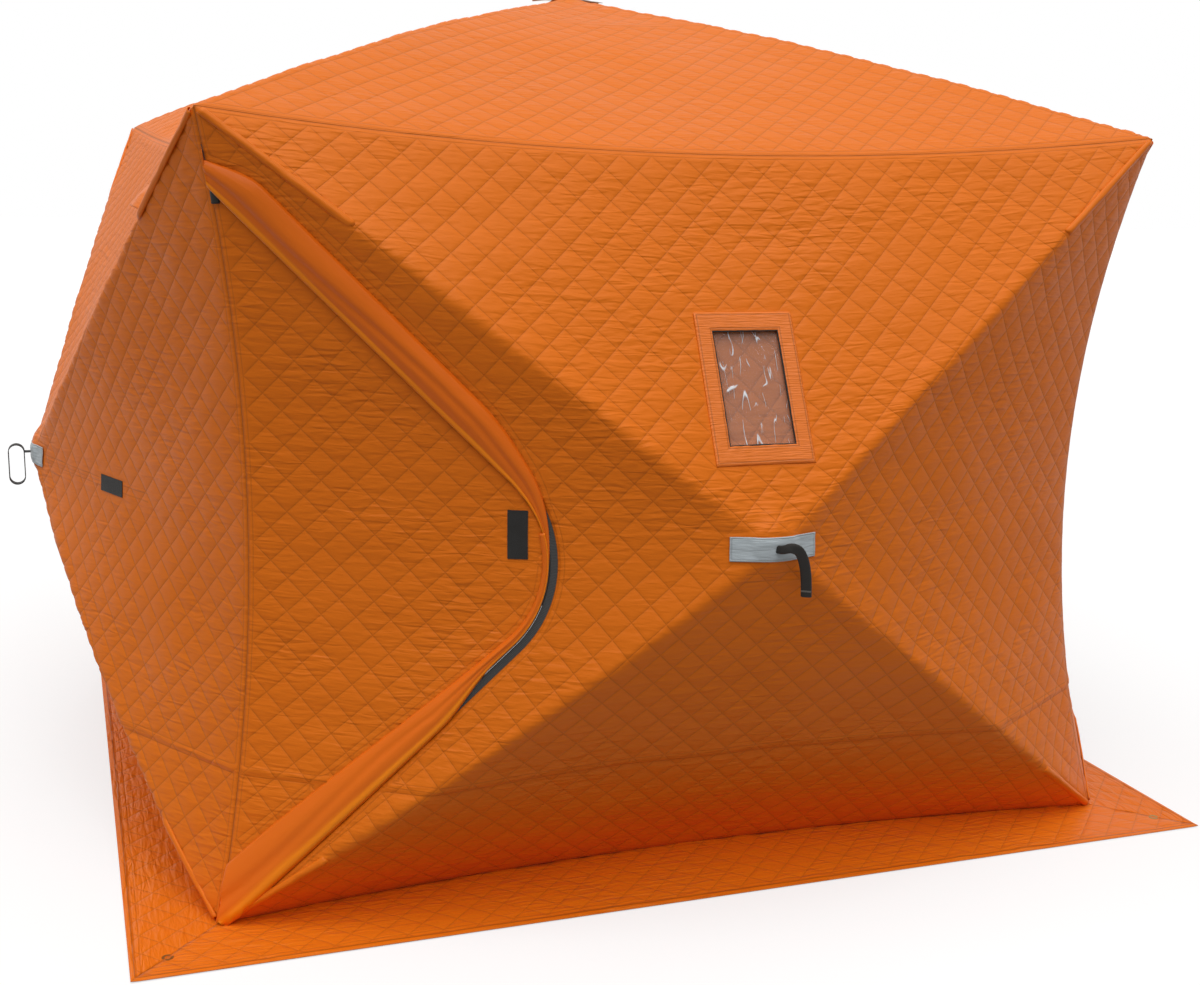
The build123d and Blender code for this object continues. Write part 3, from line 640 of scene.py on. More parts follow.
def box_distance(x, z, middle, half_x, half_z):
    """Distance outside an upright rectangle on the front view, negative inside."""
    dx, dz = np.abs(x) - half_x, np.abs(z - middle) - half_z
    return np.hypot(np.maximum(dx, 0), np.maximum(dz, 0)) + np.minimum(np.maximum(dx, dz), 0)


def rise_share(skin):
    """Plain height for each unit of length up a wall's top panel."""
    return float(np.linalg.norm(np.cross([0, 0, 1.0], skin.normals["top"])))


def window_box(skin, margin):
    """The middle height and half sizes of a window on the front view, grown by margin."""
    s = skin.s
    rise = s.window_height * rise_share(skin)
    return s.hub_height + s.window_low + rise / 2, s.window_width / 2 + margin, rise / 2 + margin


WALL_WAVES = ((0.0035, 0.33, 0.21), (0.0016, 0.12, 0.07))    # height, and length across and up


def wall_relief(skin, look, quilt, edge, height_at, seed):
    """Height of the quilted cloth: diamonds that die out towards sewn edges, a sewn band, soft waves and
    creases that fan out from the corners."""
    a, b = quilt.a, quilt.b
    p, q = quilt.stitches(a, b)
    flat_x, flat_y = a * HALF_ACROSS, b * HALF_UP
    band = height_at - skin.s.band_height
    near_band = np.abs(band)
    puff = look.puff * diamond(p, q) * smooth(0.004, 0.03, edge) * smooth(0.003, 0.022, near_band)
    waves = 0
    for k, (size, across, up) in enumerate(WALL_WAVES):
        waves = waves + size * noise(flat_x / across, flat_y / up, seed + k)
    creases = 0
    for ca, cb, size in ((-1, 1, 1.0), (1, 1, 1.0), (-1, -1, 0.8), (1, -1, 0.8)):
        dx, dy = (a - ca) * HALF_ACROSS, (b - cb) * HALF_UP
        reach, turn = np.hypot(dx, dy), np.arctan2(np.abs(dy), np.abs(dx))
        fan = noise(turn * 9 + 7, reach / 0.5, seed + 2)
        creases = creases + 0.0030 * size * np.exp(-(reach / 0.30) ** 2) * fan
    open_cloth = smooth(0.0, 0.08, edge)
    fold = 0.0035 * np.exp(-((band - 0.004) / 0.006) ** 2) - 0.0016 * np.exp(-((band + 0.006) / 0.004) ** 2)
    return puff + (waves + creases) * open_cloth + fold * smooth(0, 0.02, edge)


def border_distance(a, b, sides=("left", "right", "top", "bottom")):
    """Distance to the sewn borders of a sheet, in metres of cloth."""
    away = {"left": (1 + a) * HALF_ACROSS, "right": (1 - a) * HALF_ACROSS,
            "top": (1 - b) * HALF_UP, "bottom": (1 + b) * HALF_UP}
    return np.min([away[side] for side in sides], axis=0)


def tucked(quilt, height, roof=False):
    """The sheet's points: raised by height along the normals, and tucked in at the seams in a direction
    that both neighbours share."""
    a, b, depth = quilt.a, quilt.b, 0.003
    points = quilt.base + quilt.normal * height[..., None]
    d = DIAGONAL
    if roof:
        toward = {"left": (-d, 0, d), "right": (d, 0, d), "top": (0, d, d), "bottom": (0, -d, d)}
    else:
        toward = {"left": (-d, -d, 0), "right": (d, -d, 0), "top": (0, -d, d)}
    for side, out in toward.items():
        away = border_distance(a, b, (side,))
        points = points - np.array(out) * (depth * (1 - smooth(0.0, 0.009, away)))[..., None]
    return points


def wall_grid(s, look):
    """Grid lines of a wall's cloth across and up it, closer at the seams and round the sewn band."""
    band = (s.band_height - s.hub_height) / (s.hub_height - s.skirt_thickness)
    across = lines(-1, 1, look.cells_across, look.steps, SEAM_LINES)
    return across, lines(-1, 1, look.cells_up, look.steps,
                         SEAM_LINES[2:] + tuple(band + near for near in BAND_LINES))


def cut_line(skin, distance):
    """A field in a and b for cut: the distance of the cloth's point on the front view."""
    def field(a, b):
        """The distance at a and b."""
        place = skin.point(a, b)
        return distance(place[..., 0], place[..., 2])
    return field


def stitched(distance):
    """What the hem attribute says where stitches run along distance = 0."""
    return np.abs(distance) + STITCH


def add_quilt(name, points, quilt, hem, edge):
    """A quilted sheet's mesh, which its material knows as flat within 6 to 16 mm of a sewn edge."""
    return add_mesh(name, points, quilt.triangles, quilt.uv(),
                    {"hem": hem, "flat": 1 - smooth(0.006, 0.016, edge)})


def wall_sheet(context, wall, seed):
    """The quilted cloth of one wall: one sheet with its hub in the middle, without the door, window or
    vent."""
    s, look = context.scene.shelter_sizes, context.scene.quilt_look
    skin = Skin(s)
    holes = []
    if wall == "front":
        holes.append(cut_line(skin, lambda x, z: door_distance(s, x, z) - s.door_gap - s.zip_width))
    if wall in ("front", "back"):
        opening = window_box(skin, 0.006)
        holes.append(cut_line(skin, lambda x, z: box_distance(x, z, *opening)))
    else:
        holes.append(cut_line(skin, lambda x,
                              z: box_distance(x, z, s.hub_height + s.vent_height, *VENT_HALF)))
    phase = (0.0, 1 / 6 if wall in ("front", "back") else 1 / 3)
    quilt = Quilt(skin, look, *wall_grid(s, look), phase=phase, holes=holes)
    x, z = quilt.base[..., 0], quilt.base[..., 2]
    edge = border_distance(quilt.a, quilt.b)
    hem = edge.copy()
    if wall == "left":
        joined = (x > LEFT_SEAM[0]) & (x < LEFT_SEAM[1])
        hem = np.minimum(hem, np.where(joined, stitched(z - s.hub_height), 1.0))
    for side in (-STRAP_SEAM, STRAP_SEAM):
        hem = np.minimum(hem, np.where(np.abs(x) < 0.07, stitched(z - s.hub_height - side), 1.0))
    if wall == "front":
        distance, way = door_place(s, x, z)
        outer = np.maximum(flap_width(s, way), s.door_gap + s.zip_width)
        hem = np.minimum(hem, np.abs(distance - outer))
        edge = np.minimum(edge, np.maximum(distance - outer, 0))
    edge = np.minimum(edge, past_box(x, z, 0.0, s.hub_height, HUB_TAPE[0], HUB_TAPE[1] - 0.001))
    if wall == "left":
        edge = np.minimum(edge, past_box(x, z, *WALL_HOOK))
    hem = np.minimum(hem, stitched(z - s.band_height - BAND_STITCH))
    if wall in ("front", "back"):
        edge = np.minimum(edge, np.abs(box_distance(x, z, *window_box(skin, 0.03))))
    height = wall_relief(skin, look, quilt, edge, z, seed)
    points = turned(over_cap(tucked(quilt, height), skin.tip, 1, 0.0031), WALLS[wall])
    piece = add_quilt(f"{wall}_wall_cloth", points, quilt, hem, edge)
    shell, lining = cloths(context)
    dress(piece, shell, "shelter", [f"{wall}_{side}_panel" for side in SIDES], lining, s.cloth)


def past_box(x, z, middle_x, middle_z, half_x, half_z):
    """Distance outside a patch of tape on the front view, 0 under it, so that the quilting lies flat
    there."""
    return np.maximum(np.maximum(np.abs(x - middle_x) - half_x, np.abs(z - middle_z) - half_z), 0)


def over_cap(points, tip, axis, crown):
    """Lifts the cloth round a hub over its moulded cap: a low dome, kept where it is higher than the
    cloth."""
    out = -1.0 if axis == 1 else 1.0
    away = points - tip
    outward = away[..., axis] * out
    radius = np.sqrt((away**2).sum(-1) - outward**2)
    dome = crown - 0.0060 * (radius / CAP_RADIUS) ** 2 - 0.3 * np.maximum(radius - CAP_RADIUS - 0.001, 0)
    raised = outward + 0.5 * (dome - outward + np.sqrt((dome - outward) ** 2 + 0.0006**2))
    raised = np.where(radius < 0.075, raised, outward)
    lifted = points.copy()
    lifted[..., axis] = tip[axis] + out * raised
    return lifted


def cloths(context):
    """The shell's cloth and its lining, made once."""
    colours = context.scene.cloth_colours
    if "quilted_polyester_oxford" not in bpy.data.materials:
        quilted_cloth("quilted_polyester_oxford", list(colours.shell), DIAMOND)
        quilted_cloth("quilted_lining", list(colours.lining), DIAMOND, roughness=0.65, puckers=0.8)
    return bpy.data.materials["quilted_polyester_oxford"], bpy.data.materials["quilted_lining"]


def roof_sheet(context):
    """The quilted cloth of the roof: one sheet with its hub in the middle and a raised seam round the hub."""
    s, look = context.scene.shelter_sizes, context.scene.quilt_look
    skin = Skin(s)
    grid = lines(-1, 1, look.roof_cells, look.steps, SEAM_LINES)
    quilt = Quilt(skin, look, grid, grid, roof=True, phase=(0.0, 1 / 3))
    a, b = quilt.a, quilt.b
    edge = border_distance(a, b)
    ring = np.maximum(np.abs(a), np.abs(b)) - ROOF_RING
    edge = np.minimum(edge, np.abs(ring) * ROOF_HALF)
    height = wall_relief(skin, look, quilt, edge, np.full(a.shape, 9.0), 71)
    height = height + 0.0025 * np.exp(-((ring * ROOF_HALF - 0.004) / 0.006) ** 2)
    points = over_cap(tucked(quilt, height, roof=True), skin.top, 2, 0.0011)
    hem = np.minimum(stitched(ring * ROOF_HALF - BAND_STITCH), border_distance(a, b))
    piece = add_quilt("roof_cloth", points, quilt, hem, edge)
    shell, lining = cloths(context)
    dress(piece, shell, "shelter", [f"roof_{wall}_panel" for wall in WALLS], lining, s.cloth)


# ---- door, flaps and zip -------------------------------------------------------------------------

UPPER_RUN, LOWER_RUN = 0.878, 0.885    # the straight sides of the door's outline
FLAP_WIDTH = 0.062                     # the storm flap at its widest
ZIP_TAB = (-1.058, -1.040, 1.488, 1.522)    # the tab over the zip's end: left, right, foot and head
ZIP_START = 0.004                      # the way along the outline where the zip begins


def nose_angles(normals):
    """The directions, as angles, in which the nose's arc begins and ends."""
    return [math.atan2(n[1], n[0]) for n in normals]


def door_place(s, x, z):
    """Distance outside the door's outline, and the way along it from its top end, of points on the front
    view."""
    inner, normals, directions = door_shape(s)
    dx, dz = x - inner[0], z - inner[1]
    along = [dx * d[0] + dz * d[1] for d in directions]
    first, last = nose_angles(normals)
    turn = np.clip(first - np.arctan2(dz, dx), 0, first - last)
    way = np.where(along[0] > 0, UPPER_RUN - along[0],
                   UPPER_RUN + s.door_nose_r * turn + np.where(along[1] > 0, along[1], 0))
    return door_distance(s, x, z), way


def door_path(s, way, grow):
    """The point that lies way along the door's outline and grow outside it: down the upper side, round the
    nose in an arc and down the lower side."""
    inner, normals, directions = door_shape(s)
    first, last = nose_angles(normals)
    arc = s.door_nose_r * (first - last)
    angle = first - np.clip((way - UPPER_RUN) / s.door_nose_r, 0, first - last)
    upper, lower = np.clip(UPPER_RUN - way, 0, None), np.clip(way - UPPER_RUN - arc, 0, None)
    r = s.door_nose_r + grow
    x = inner[0] + r * np.cos(angle) + directions[0][0] * upper + directions[1][0] * lower
    z = inner[1] + r * np.sin(angle) + directions[0][1] * upper + directions[1][1] * lower
    return x, z


def path_ends(s):
    """How far along the door's outline the middle of its nose and the foot of its lower side lie."""
    first, last = nose_angles(door_shape(s)[1])
    arc = s.door_nose_r * (first - last)
    return UPPER_RUN + arc / 2, UPPER_RUN + arc + LOWER_RUN


def flap_width(s, way):
    """Width of the storm flap: nothing at the corner seam, full along the upper side, nothing at the nose."""
    nose, _ = path_ends(s)
    return FLAP_WIDTH * smooth(-0.02, 0.16, way) * (1 - smooth(nose - 0.34, nose + 0.02, way)) + 0.001


def edge_strip(skin, name, ways, across, grow, lift, trim=None):
    """A strip along the door's edge: grow and lift are functions of the way along it and of v across it."""
    way, v = np.meshgrid(ways, across, indexing="ij")
    x, z = door_path(skin.s, way, grow(way, v))
    z = np.maximum(z, 0.010)
    points = skin.lay(x, z, lift(way, v))
    values = {"trim": trim(way, v)} if trim else None
    return add_mesh(name, points, quads(len(ways), len(across))[:, ::-1], np.stack([way, v * 0.06], -1),
                    values)


def hem_inside(s, way):
    """Where the hem flap's lower edge lies, as a distance outside the outline: further in down the lower
    side."""
    nose, end = path_ends(s)
    return -0.010 - 0.050 * smooth(nose, end - 0.15, way)


def door_cloth(context):
    """The quilted cloth of the door and its jamb: one sheet, which bends beside the corner seam."""
    s, look = context.scene.shelter_sizes, context.scene.quilt_look
    skin = Skin(s)
    across, up = wall_grid(s, look)
    outside = cut_line(skin, lambda x, z: -door_distance(s, x, z))
    quilt = Quilt(skin, look, across[across < -0.34], up[up < 0.86], phase=(1 / 3, 0.0), holes=[outside])
    x, z = quilt.base[..., 0], quilt.base[..., 2]
    distance, way = door_place(s, x, z)
    corner = border_distance(quilt.a, quilt.b, ("left",))
    edge = np.minimum(np.minimum(corner, np.abs(distance)), past_box(x, z, *DOOR_HOOK))
    low, inside = way > path_ends(s)[0], hem_inside(s, way)
    hem = np.minimum(np.where(low, stitched(distance - inside), 1.0),
                     stitched(z - s.band_height - BAND_STITCH))
    edge = np.where(low & (distance > inside), 0, edge)
    points = tucked(quilt, wall_relief(skin, look, quilt, edge, z, 131))
    piece = add_quilt("door_cloth", points, quilt, np.minimum(hem, corner), edge)
    shell, lining = cloths(context)
    dress(piece, shell, None, ["door_leaf", "door_jamb"], lining, s.cloth)
    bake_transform(piece)


def door_flaps(context):
    """The storm flap over the zip and the hem flap below it: smooth strips with one rolled edge, painted
    brighter for the light that shines through it.
    """
    s, colours = context.scene.shelter_sizes, context.scene.cloth_colours
    skin = Skin(s)
    nose, end = path_ends(s)
    cloth = plain_cloth("coated_nylon_flap", list(colours.flap), roughness=0.36, folds=0.5, across=0.12,
                        up=0.02,
                        shade=list(colours.piping))

    def flap_grow(way, v):
        """The flap's width at v = 0, and a few millimetres inside the outline at v = 1."""
        width = flap_width(s, way)
        return width * (1 - v) - 0.007 * v * np.clip(width / 0.03, 0, 1)

    def flap_lift(way, v):
        """A bulge like a sine across the flap, less a crease along it, with waves and a half round rolled
        edge."""
        full = flap_width(s, way) / FLAP_WIDTH
        bulge = np.sin(np.pi * np.clip(v, 0, 1) ** 0.75) ** 1.2
        crease = 0.0045 * np.exp(-((v - 0.55 - 0.12 * np.sin(way * 7)) / 0.11) ** 2)
        wave = 0.0030 * noise(way / 0.16 + 3, v * 1.5, 5) * np.sin(np.pi * np.clip(v, 0, 1))
        roll = 0.0035 * np.sqrt(np.clip(1 - ((v - 0.93) / 0.07) ** 2, 0, 1))
        roll = roll * np.clip(full * 3, 0, 1)
        return 0.0012 + full * (0.017 * bulge - crease + wave + 0.0065 * v**2) + roll

    def flap_rim(way, v):
        """1 on the rolled edge, painted brighter for the light that shines through it, with an uneven border.
        """
        return smooth(0.80, 0.86, v + 0.03 * noise(way / 0.1, v, 9))

    flap = edge_strip(skin, "storm_flap_cloth", np.linspace(ZIP_START, nose + 0.015, 260),
                      np.linspace(0, 1, 28) ** 0.8, flap_grow, flap_lift, flap_rim)
    dress(flap, cloth, "shelter", ["storm_flap"], None, FLAP_CLOTH, 0.0)

    def hem_grow(way, v):
        """From just outside the outline, further out past the nose, to the hem's line inside it."""
        high = 0.001 + 0.020 * smooth(nose + 0.24, nose + 0.42, way)
        return high + (hem_inside(s, way) - high) * v

    def hem_lift(way, v):
        """The same forms as the storm flap's, which grow from the nose down, with the roll at the outer
        edge."""
        wide = smooth(nose, nose + 0.35, way)
        fold = 0.004 * np.exp(-((v - 0.5 - 0.1 * np.sin(way * 9)) / 0.12) ** 2) * wide
        wave = 0.002 * noise(way / 0.13 + 8, v * 2, 15) * wide * np.sin(np.pi * v)
        roll = 0.004 * np.sqrt(np.clip(1 - ((v - 0.08) / 0.08) ** 2, 0, 1))
        bulge = (0.0035 + 0.008 * wide) * np.sin(np.pi * v) ** 0.8
        return 0.0022 + bulge - fold + wave + roll * (0.4 + 0.6 * wide)

    def hem_rim(way, v):
        """1 on the rolled edge, as on the storm flap."""
        return 1 - smooth(0.16, 0.26, v + 0.03 * noise(way / 0.08, v, 19))

    hem = edge_strip(skin, "door_hem_flap", np.linspace(nose - 0.06, end, 220), np.linspace(0, 1, 20),
                     hem_grow, hem_lift, hem_rim)
    dress(hem, cloth, None, (), None, FLAP_CLOTH, 0.0)
    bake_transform(hem)


def zip_pieces(context):
    """The zip's two tapes, each with a ridge where the teeth are, and the tab of webbing over its top end."""
    skin = Skin(context.scene.shelter_sizes)
    cloth = zip_material("black_coil_zip")
    ways, across = np.linspace(ZIP_START, path_ends(skin.s)[1], 420), np.linspace(0, 1, 7)
    tapes = (("wall", 0.0035, 0.0185, 0, ["zip_tape"]), ("door", -0.010, 0.013, 1, ()))
    made = []
    for side, start, width, teeth, replaced in tapes:
        tape = edge_strip(skin, f"zip_{side}_tape", ways, across, lambda way, v: start + width * v,
                          lambda way, v: -0.0012 + 0.0016 * np.exp(-((v - teeth) / 0.12) ** 2))
        dress(tape, cloth, "shelter" if side == "wall" else None, replaced, None, 0.001, -1.0)
        made.append((tape, width))
    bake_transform(made[1][0])
    for tape, width in made:
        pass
    left, right, foot, head = ZIP_TAB
    x, z = np.meshgrid(np.linspace(left, right, 7), np.linspace(foot, head, 9), indexing="ij")
    arch = 0.004 + 0.004 * np.sin(np.pi * (x - left) / (right - left))
    tab = add_mesh("zip_top_tab", skin.lay(x, z, arch), quads(7, 9), np.stack([x, z], -1))
    dress(tab, webbing_material(context), "shelter", (), None, 0.002, -1.0)


# ---- small materials -----------------------------------------------------------------------------

def webbing_material(context):
    """Woven polypropylene webbing: black and dull, with threads 1.6 mm wide along X and Y, and noise that
    roughens it and varies its tone."""
    if "black_woven_webbing" in bpy.data.materials:
        return bpy.data.materials["black_woven_webbing"]
    material, tree = material_tree("black_woven_webbing")
    place = add(tree, "TexCoord", out=3)
    ribs = add(tree, "TexNoise", {"Vector": place, "Scale": 420.0, "Detail": 2.0})
    wide = add(tree, "TexNoise", {"Vector": place, "Scale": 60.0, "Detail": 2.0})
    height = total_height(tree,
                          [(ribs, 0.0006), (wide, 0.0012), (weave_height(tree, place, 0.0016), 0.00012)])
    colour = list(context.scene.cloth_colours.webbing)
    tone = add(tree, "Mix", {0: ribs, 6: rgba(colour, 0.6), 7: rgba(colour, 1.7)}, **COLOUR_MIX)
    return surface(material, height, 0.8,
                   {"Base Color": tone, "Roughness": 0.62, "IOR": 1.49, "Sheen Weight": 0.04,
                    "Specular IOR Level": 0.3})


def zip_material(name):
    """Nylon coil zip on woven tape: black, with coil turns 3 mm apart that glint faintly."""
    material, tree = material_tree(name)
    place = cloth_space(tree)
    split = add(tree, "SeparateXYZ", {0: place})
    turn = add(tree, "Math", {0: split, 1: 2 * math.pi / 0.003}, operation="MULTIPLY")
    coil = add(tree, "Math", {0: turn}, operation="SINE")
    height = total_height(tree, [(coil, 0.0003), (weave_height(tree, place, 0.0006), 0.00004)])
    grain = add(tree, "TexNoise", {"Vector": place, "Scale": 300.0})
    tone = add(tree, "Mix", {0: grain, 6: rgba(linear("070605")), 7: rgba(linear("15120F"))}, **COLOUR_MIX)
    return surface(material, height, 0.7, {"Base Color": tone, "Roughness": 0.55, "IOR": 1.53})


def grained(name, low, high, scale, depth, roughness, metallic=0.0, sheen=0.0):
    """A solid with a fine grain: the mean of two noises, one twelve times as wide as the other, shifts its
    colour between two tones. The wide one also varies its roughness."""
    material, tree = material_tree(name)
    place = add(tree, "TexCoord", out=3)
    grain = add(tree, "TexNoise", {"Vector": place, "Scale": scale, "Detail": 3.0})
    wear = add(tree, "TexNoise", {"Vector": place, "Scale": scale / 12, "Detail": 2.0})
    tone = add(tree, "Mix", {0: total_height(tree, [(grain, 0.5), (wear, 0.5)]), 6: rgba(linear(low)),
                             7: rgba(linear(high))}, **COLOUR_MIX)
    height = total_height(tree, [(grain, depth)])
    rough = add(tree, "MapRange", {"Value": wear, "To Min": roughness - 0.08, "To Max": roughness + 0.08})
    return surface(material, height, 0.6,
                   {"Base Color": tone, "Roughness": rough, "Metallic": metallic, "IOR": 1.5,
                    "Sheen Weight": sheen})


def film_material():
    """Clear vinyl film, folded for storage: see-through and glossy, with creases; white, nearly opaque
    lines along them are painted highlights.
    """
    material, tree = material_tree("creased_clear_vinyl")
    place = cloth_space(tree)
    crease = None
    for across, up, seed, width in ((0.036, 0.30, 0.0, 0.009), (0.060, 0.16, 4.0, 0.006)):
        shifted = add(tree, "VectorMath", {0: place, 1: (seed, seed / 2, 0)}, operation="ADD")
        scaled = add(tree, "VectorMath", {0: shifted, 1: (1 / across, 1 / up, 0)}, operation="MULTIPLY")
        wave = add(tree, "TexNoise", {"Vector": scaled, "Scale": 1.0, "Detail": 1.0, "Distortion": 0.5})
        away = add(tree, "Math", {0: wave, 1: 0.5}, operation="SUBTRACT")
        away = add(tree, "Math", {0: away}, operation="ABSOLUTE")
        line = add(tree, "MapRange",
                   {"Value": away, "From Min": width * 0.3, "From Max": width, "To Min": 1.0, "To Max": 0.0})
        crease = line if crease is None else add(tree, "Math", {0: crease, 1: line}, operation="MAXIMUM")
    broken = add(tree, "TexNoise", {"Vector": place, "Scale": 28.0, "Detail": 1.0})
    broken = add(tree, "MapRange", {"Value": broken, "From Min": 0.46, "From Max": 0.58})
    crease = add(tree, "Math", {0: crease, 1: broken}, operation="MULTIPLY")
    # Painted highlight: along the creases the film turns white and nearly opaque, standing for glints of
    # light.
    alpha = add(tree, "MapRange", {"Value": crease, "To Min": 0.06, "To Max": 0.95})
    height = total_height(tree, [(crease, 0.0008), (relief_noise(tree, place, 0.03, 0.05), 0.004)])
    return surface(material, height, 1.0,
                   {"Base Color": (0.93, 0.93, 0.95, 1), "Roughness": 0.08, "IOR": 1.53, "Alpha": alpha})


# ---- windows, hoods, hub fittings and skirts -----------------------------------------------------

WINDOW_SIDE = 48    # mesh steps along each side of a window's binding


def ring_grid(skin, turns, offsets, lift):
    """Points round a window: the rectangle's perimeter, moved out by each offset with mitred corners."""
    middle, half_x, half_z = window_box(skin, 0.0)
    t = np.arange(turns * 4) / turns
    side, f = t.astype(int) % 4, (t - t.astype(int)) * 2 - 1
    unit_x = np.choose(side, [f, np.ones_like(f), -f, -np.ones_like(f)])
    unit_z = np.choose(side, [-np.ones_like(f), f, np.ones_like(f), -f])
    x = unit_x[:, None] * (half_x + offsets[None, :])
    z = middle + unit_z[:, None] * (half_z + offsets[None, :])
    return skin.lay(x, z, lift(t[:, None], offsets[None, :])), x, z


def window_trim(context, wall):
    """A window's binding, raised between its two sewn edges and a little uneven, and its round piping:
    circles in the plane of the wall's normal and the direction out from the opening."""
    skin = Skin(context.scene.shelter_sizes)
    offsets = np.concatenate([[-0.0015, 0.0], np.linspace(0.002, 0.033, 12), [0.0345, 0.0355]])
    raised = smooth(-0.0015, 0.002, offsets) * (1 - smooth(0.033, 0.0355, offsets))
    points, x, z = ring_grid(skin, WINDOW_SIDE, offsets,
                             lambda t,
                             o: 0.0008 + 0.0026 * raised[None, :] + 0.0006 * noise(t * 12, o * 30, 3))
    cloth = bpy.data.materials.get("stitched_binding_cloth")
    cloth = cloth or binding_material(list(context.scene.cloth_colours.shell))
    rows = 4 * WINDOW_SIDE
    binding = add_mesh(f"{wall}_window_binding", turned(points, WALLS[wall]),
                       quads(rows, len(offsets), closed=True),
                       np.stack([x, z], -1), {"hem": offsets[None, :] + 0 * x})
    dress(binding, cloth, "shelter", (), None, 0.001, -1.0)

    centre, outer = (ring_grid(skin, WINDOW_SIDE, np.array([out]), lambda t, o: 0.0012 + 0 * t * o)[0]
                     for out in (-0.0010, 0.004))
    turn = np.linspace(0, 2 * math.pi, 9)[:-1][None, :, None]
    tube = centre + 0.0022 * (np.cos(turn) * unit(outer - centre) + np.sin(turn) * skin.normals["top"])
    piping = add_mesh(f"{wall}_window_piping", turned(tube, WALLS[wall]),
                      quads(rows, 8, around=True, closed=True),
                      np.zeros((rows, 8, 2)))
    dress(piping, webbing_material(context), "shelter")


def window_grid(skin, margin, columns, rows):
    """An upright grid over a window and margin round it, and how far inside its border each point lies."""
    middle, half_x, half_z = window_box(skin, margin)
    x, z = np.meshgrid(np.linspace(-half_x, half_x, columns),
                       np.linspace(middle - half_z, middle + half_z, rows),
                       indexing="ij")
    return x, z, -box_distance(x, z, middle, half_x, half_z)


def window_layers(context, wall):
    """What closes a window: film, sunk below the cloth and creased by noise, and inside it a quilted cover,
    whose diamonds die out at its sewn edge."""
    s, look = context.scene.shelter_sizes, context.scene.quilt_look
    skin = Skin(s)
    x, z, _ = window_grid(skin, 0.022, 49, 69)
    inside = smooth(0, 0.02, -box_distance(x, z, *window_box(skin, 0.004)))
    crease = 0.0022 * np.abs(noise(x / 0.045 + 9, z / 0.11 + x * 9, 31))
    crease = crease + 0.001 * noise(x / 0.02, z / 0.03, 33)
    points = skin.lay(x, z, -0.0046 + inside * (crease - 0.001))
    film = add_mesh(f"{wall}_window_film", turned(points, WALLS[wall]), quads(49, 69), np.stack([x, z], -1))
    clear = bpy.data.materials.get("creased_clear_vinyl") or film_material()
    dress(film, clear, "shelter", ["window_panes"], None, 0.0008, -1.0)

    x, z, inside = window_grid(skin, 0.040, 61, 81)
    cell = DIAMOND / DIAGONAL
    puff = look.puff * 0.6 * diamond((x + z) / cell, (x - z) / cell) * smooth(0.0, 0.02, inside)
    points = skin.lay(x, z, -0.0085 + puff - 0.006 * smooth(0.035, 0.06, inside))
    cover = add_mesh(f"{wall}_window_cover", turned(points, WALLS[wall]), quads(61, 81),
                     np.stack([x / cell, z / cell], -1), {"hem": inside, "flat": 1 - smooth(0, 0.02, inside)})
    dress(cover, cloths(context)[1], "shelter", ["window_covers"], None, s.cloth, -1.0)


def binding_material(colour):
    """A folded band of the shell's cloth, sewn flat round a window: fine level puckers 3.5 mm high, and two
    lines of stitches with dark thread."""
    material, tree = material_tree("stitched_binding_cloth")
    place = cloth_space(tree)
    across = add(tree, "Attribute", attribute_name="hem", out=2)
    pucker = relief_noise(tree, place, 0.045, 0.0035, detail=2.0, warp=0.2)
    thread = add(tree, "Math", {0: near_line(tree, across, 0.004, 0.0004, 0.0014),
                                1: near_line(tree, across, 0.0305, 0.0004, 0.0014)},
                 operation="MAXIMUM")
    height = total_height(tree,
                          [(pucker, 0.0024), (thread, -0.0007), (weave_height(tree, place, WEAVE), 0.00003)])
    tone = add(tree, "Mix", {0: add(tree, "Math", {0: thread, 1: 0.45}, operation="MULTIPLY"),
                             6: rgba(colour), 7: rgba(colour, 0.4)}, **COLOUR_MIX)
    return surface(material, height, 1.0, {"Base Color": tone, "Roughness": 0.5, "IOR": 1.5})


HOOD_TALL, HOOD_BULGE, HOOD_TAPER = 0.096, 0.044, 0.28    # a hood up the wall, out from it and its narrowing


def vent_piece(context, wall, material):
    """A cloth hood over the vent: arches that shrink from the open lip, low on the wall, to the sewn top."""
    s = context.scene.shelter_sizes
    skin = Skin(s)
    rows, columns = 41, 25
    t, v = np.meshgrid(np.linspace(0, 1, rows), np.linspace(0, 1, columns), indexing="ij")
    x = (2 * t - 1) * s.vent_width / 2 * (1 - HOOD_TAPER * v)
    z = s.hub_height + s.vent_height + (v - 0.5) * HOOD_TALL * rise_share(skin)
    arch = np.sin(np.pi * t) ** 0.85
    sag = 1 + 0.06 * noise(t * 5, v * 3, 51) - 0.12 * np.exp(-((t - 0.5) / 0.12) ** 2) * (1 - v)
    lift = 0.0010 + HOOD_BULGE * (1 - 0.72 * v**1.2) * arch * sag * (1 - smooth(0.9, 1.0, v) * 0.8)
    points = skin.lay(x, z, lift)
    hood = add_mesh(f"{wall}_vent_hood", turned(points, WALLS[wall]), quads(rows, columns),
                    np.stack([x, z], -1), {"trim": 1 - smooth(0.03, 0.08, v)})
    dress(hood, material, "shelter", ["vent_hoods"], None, 0.0025, -1.0)


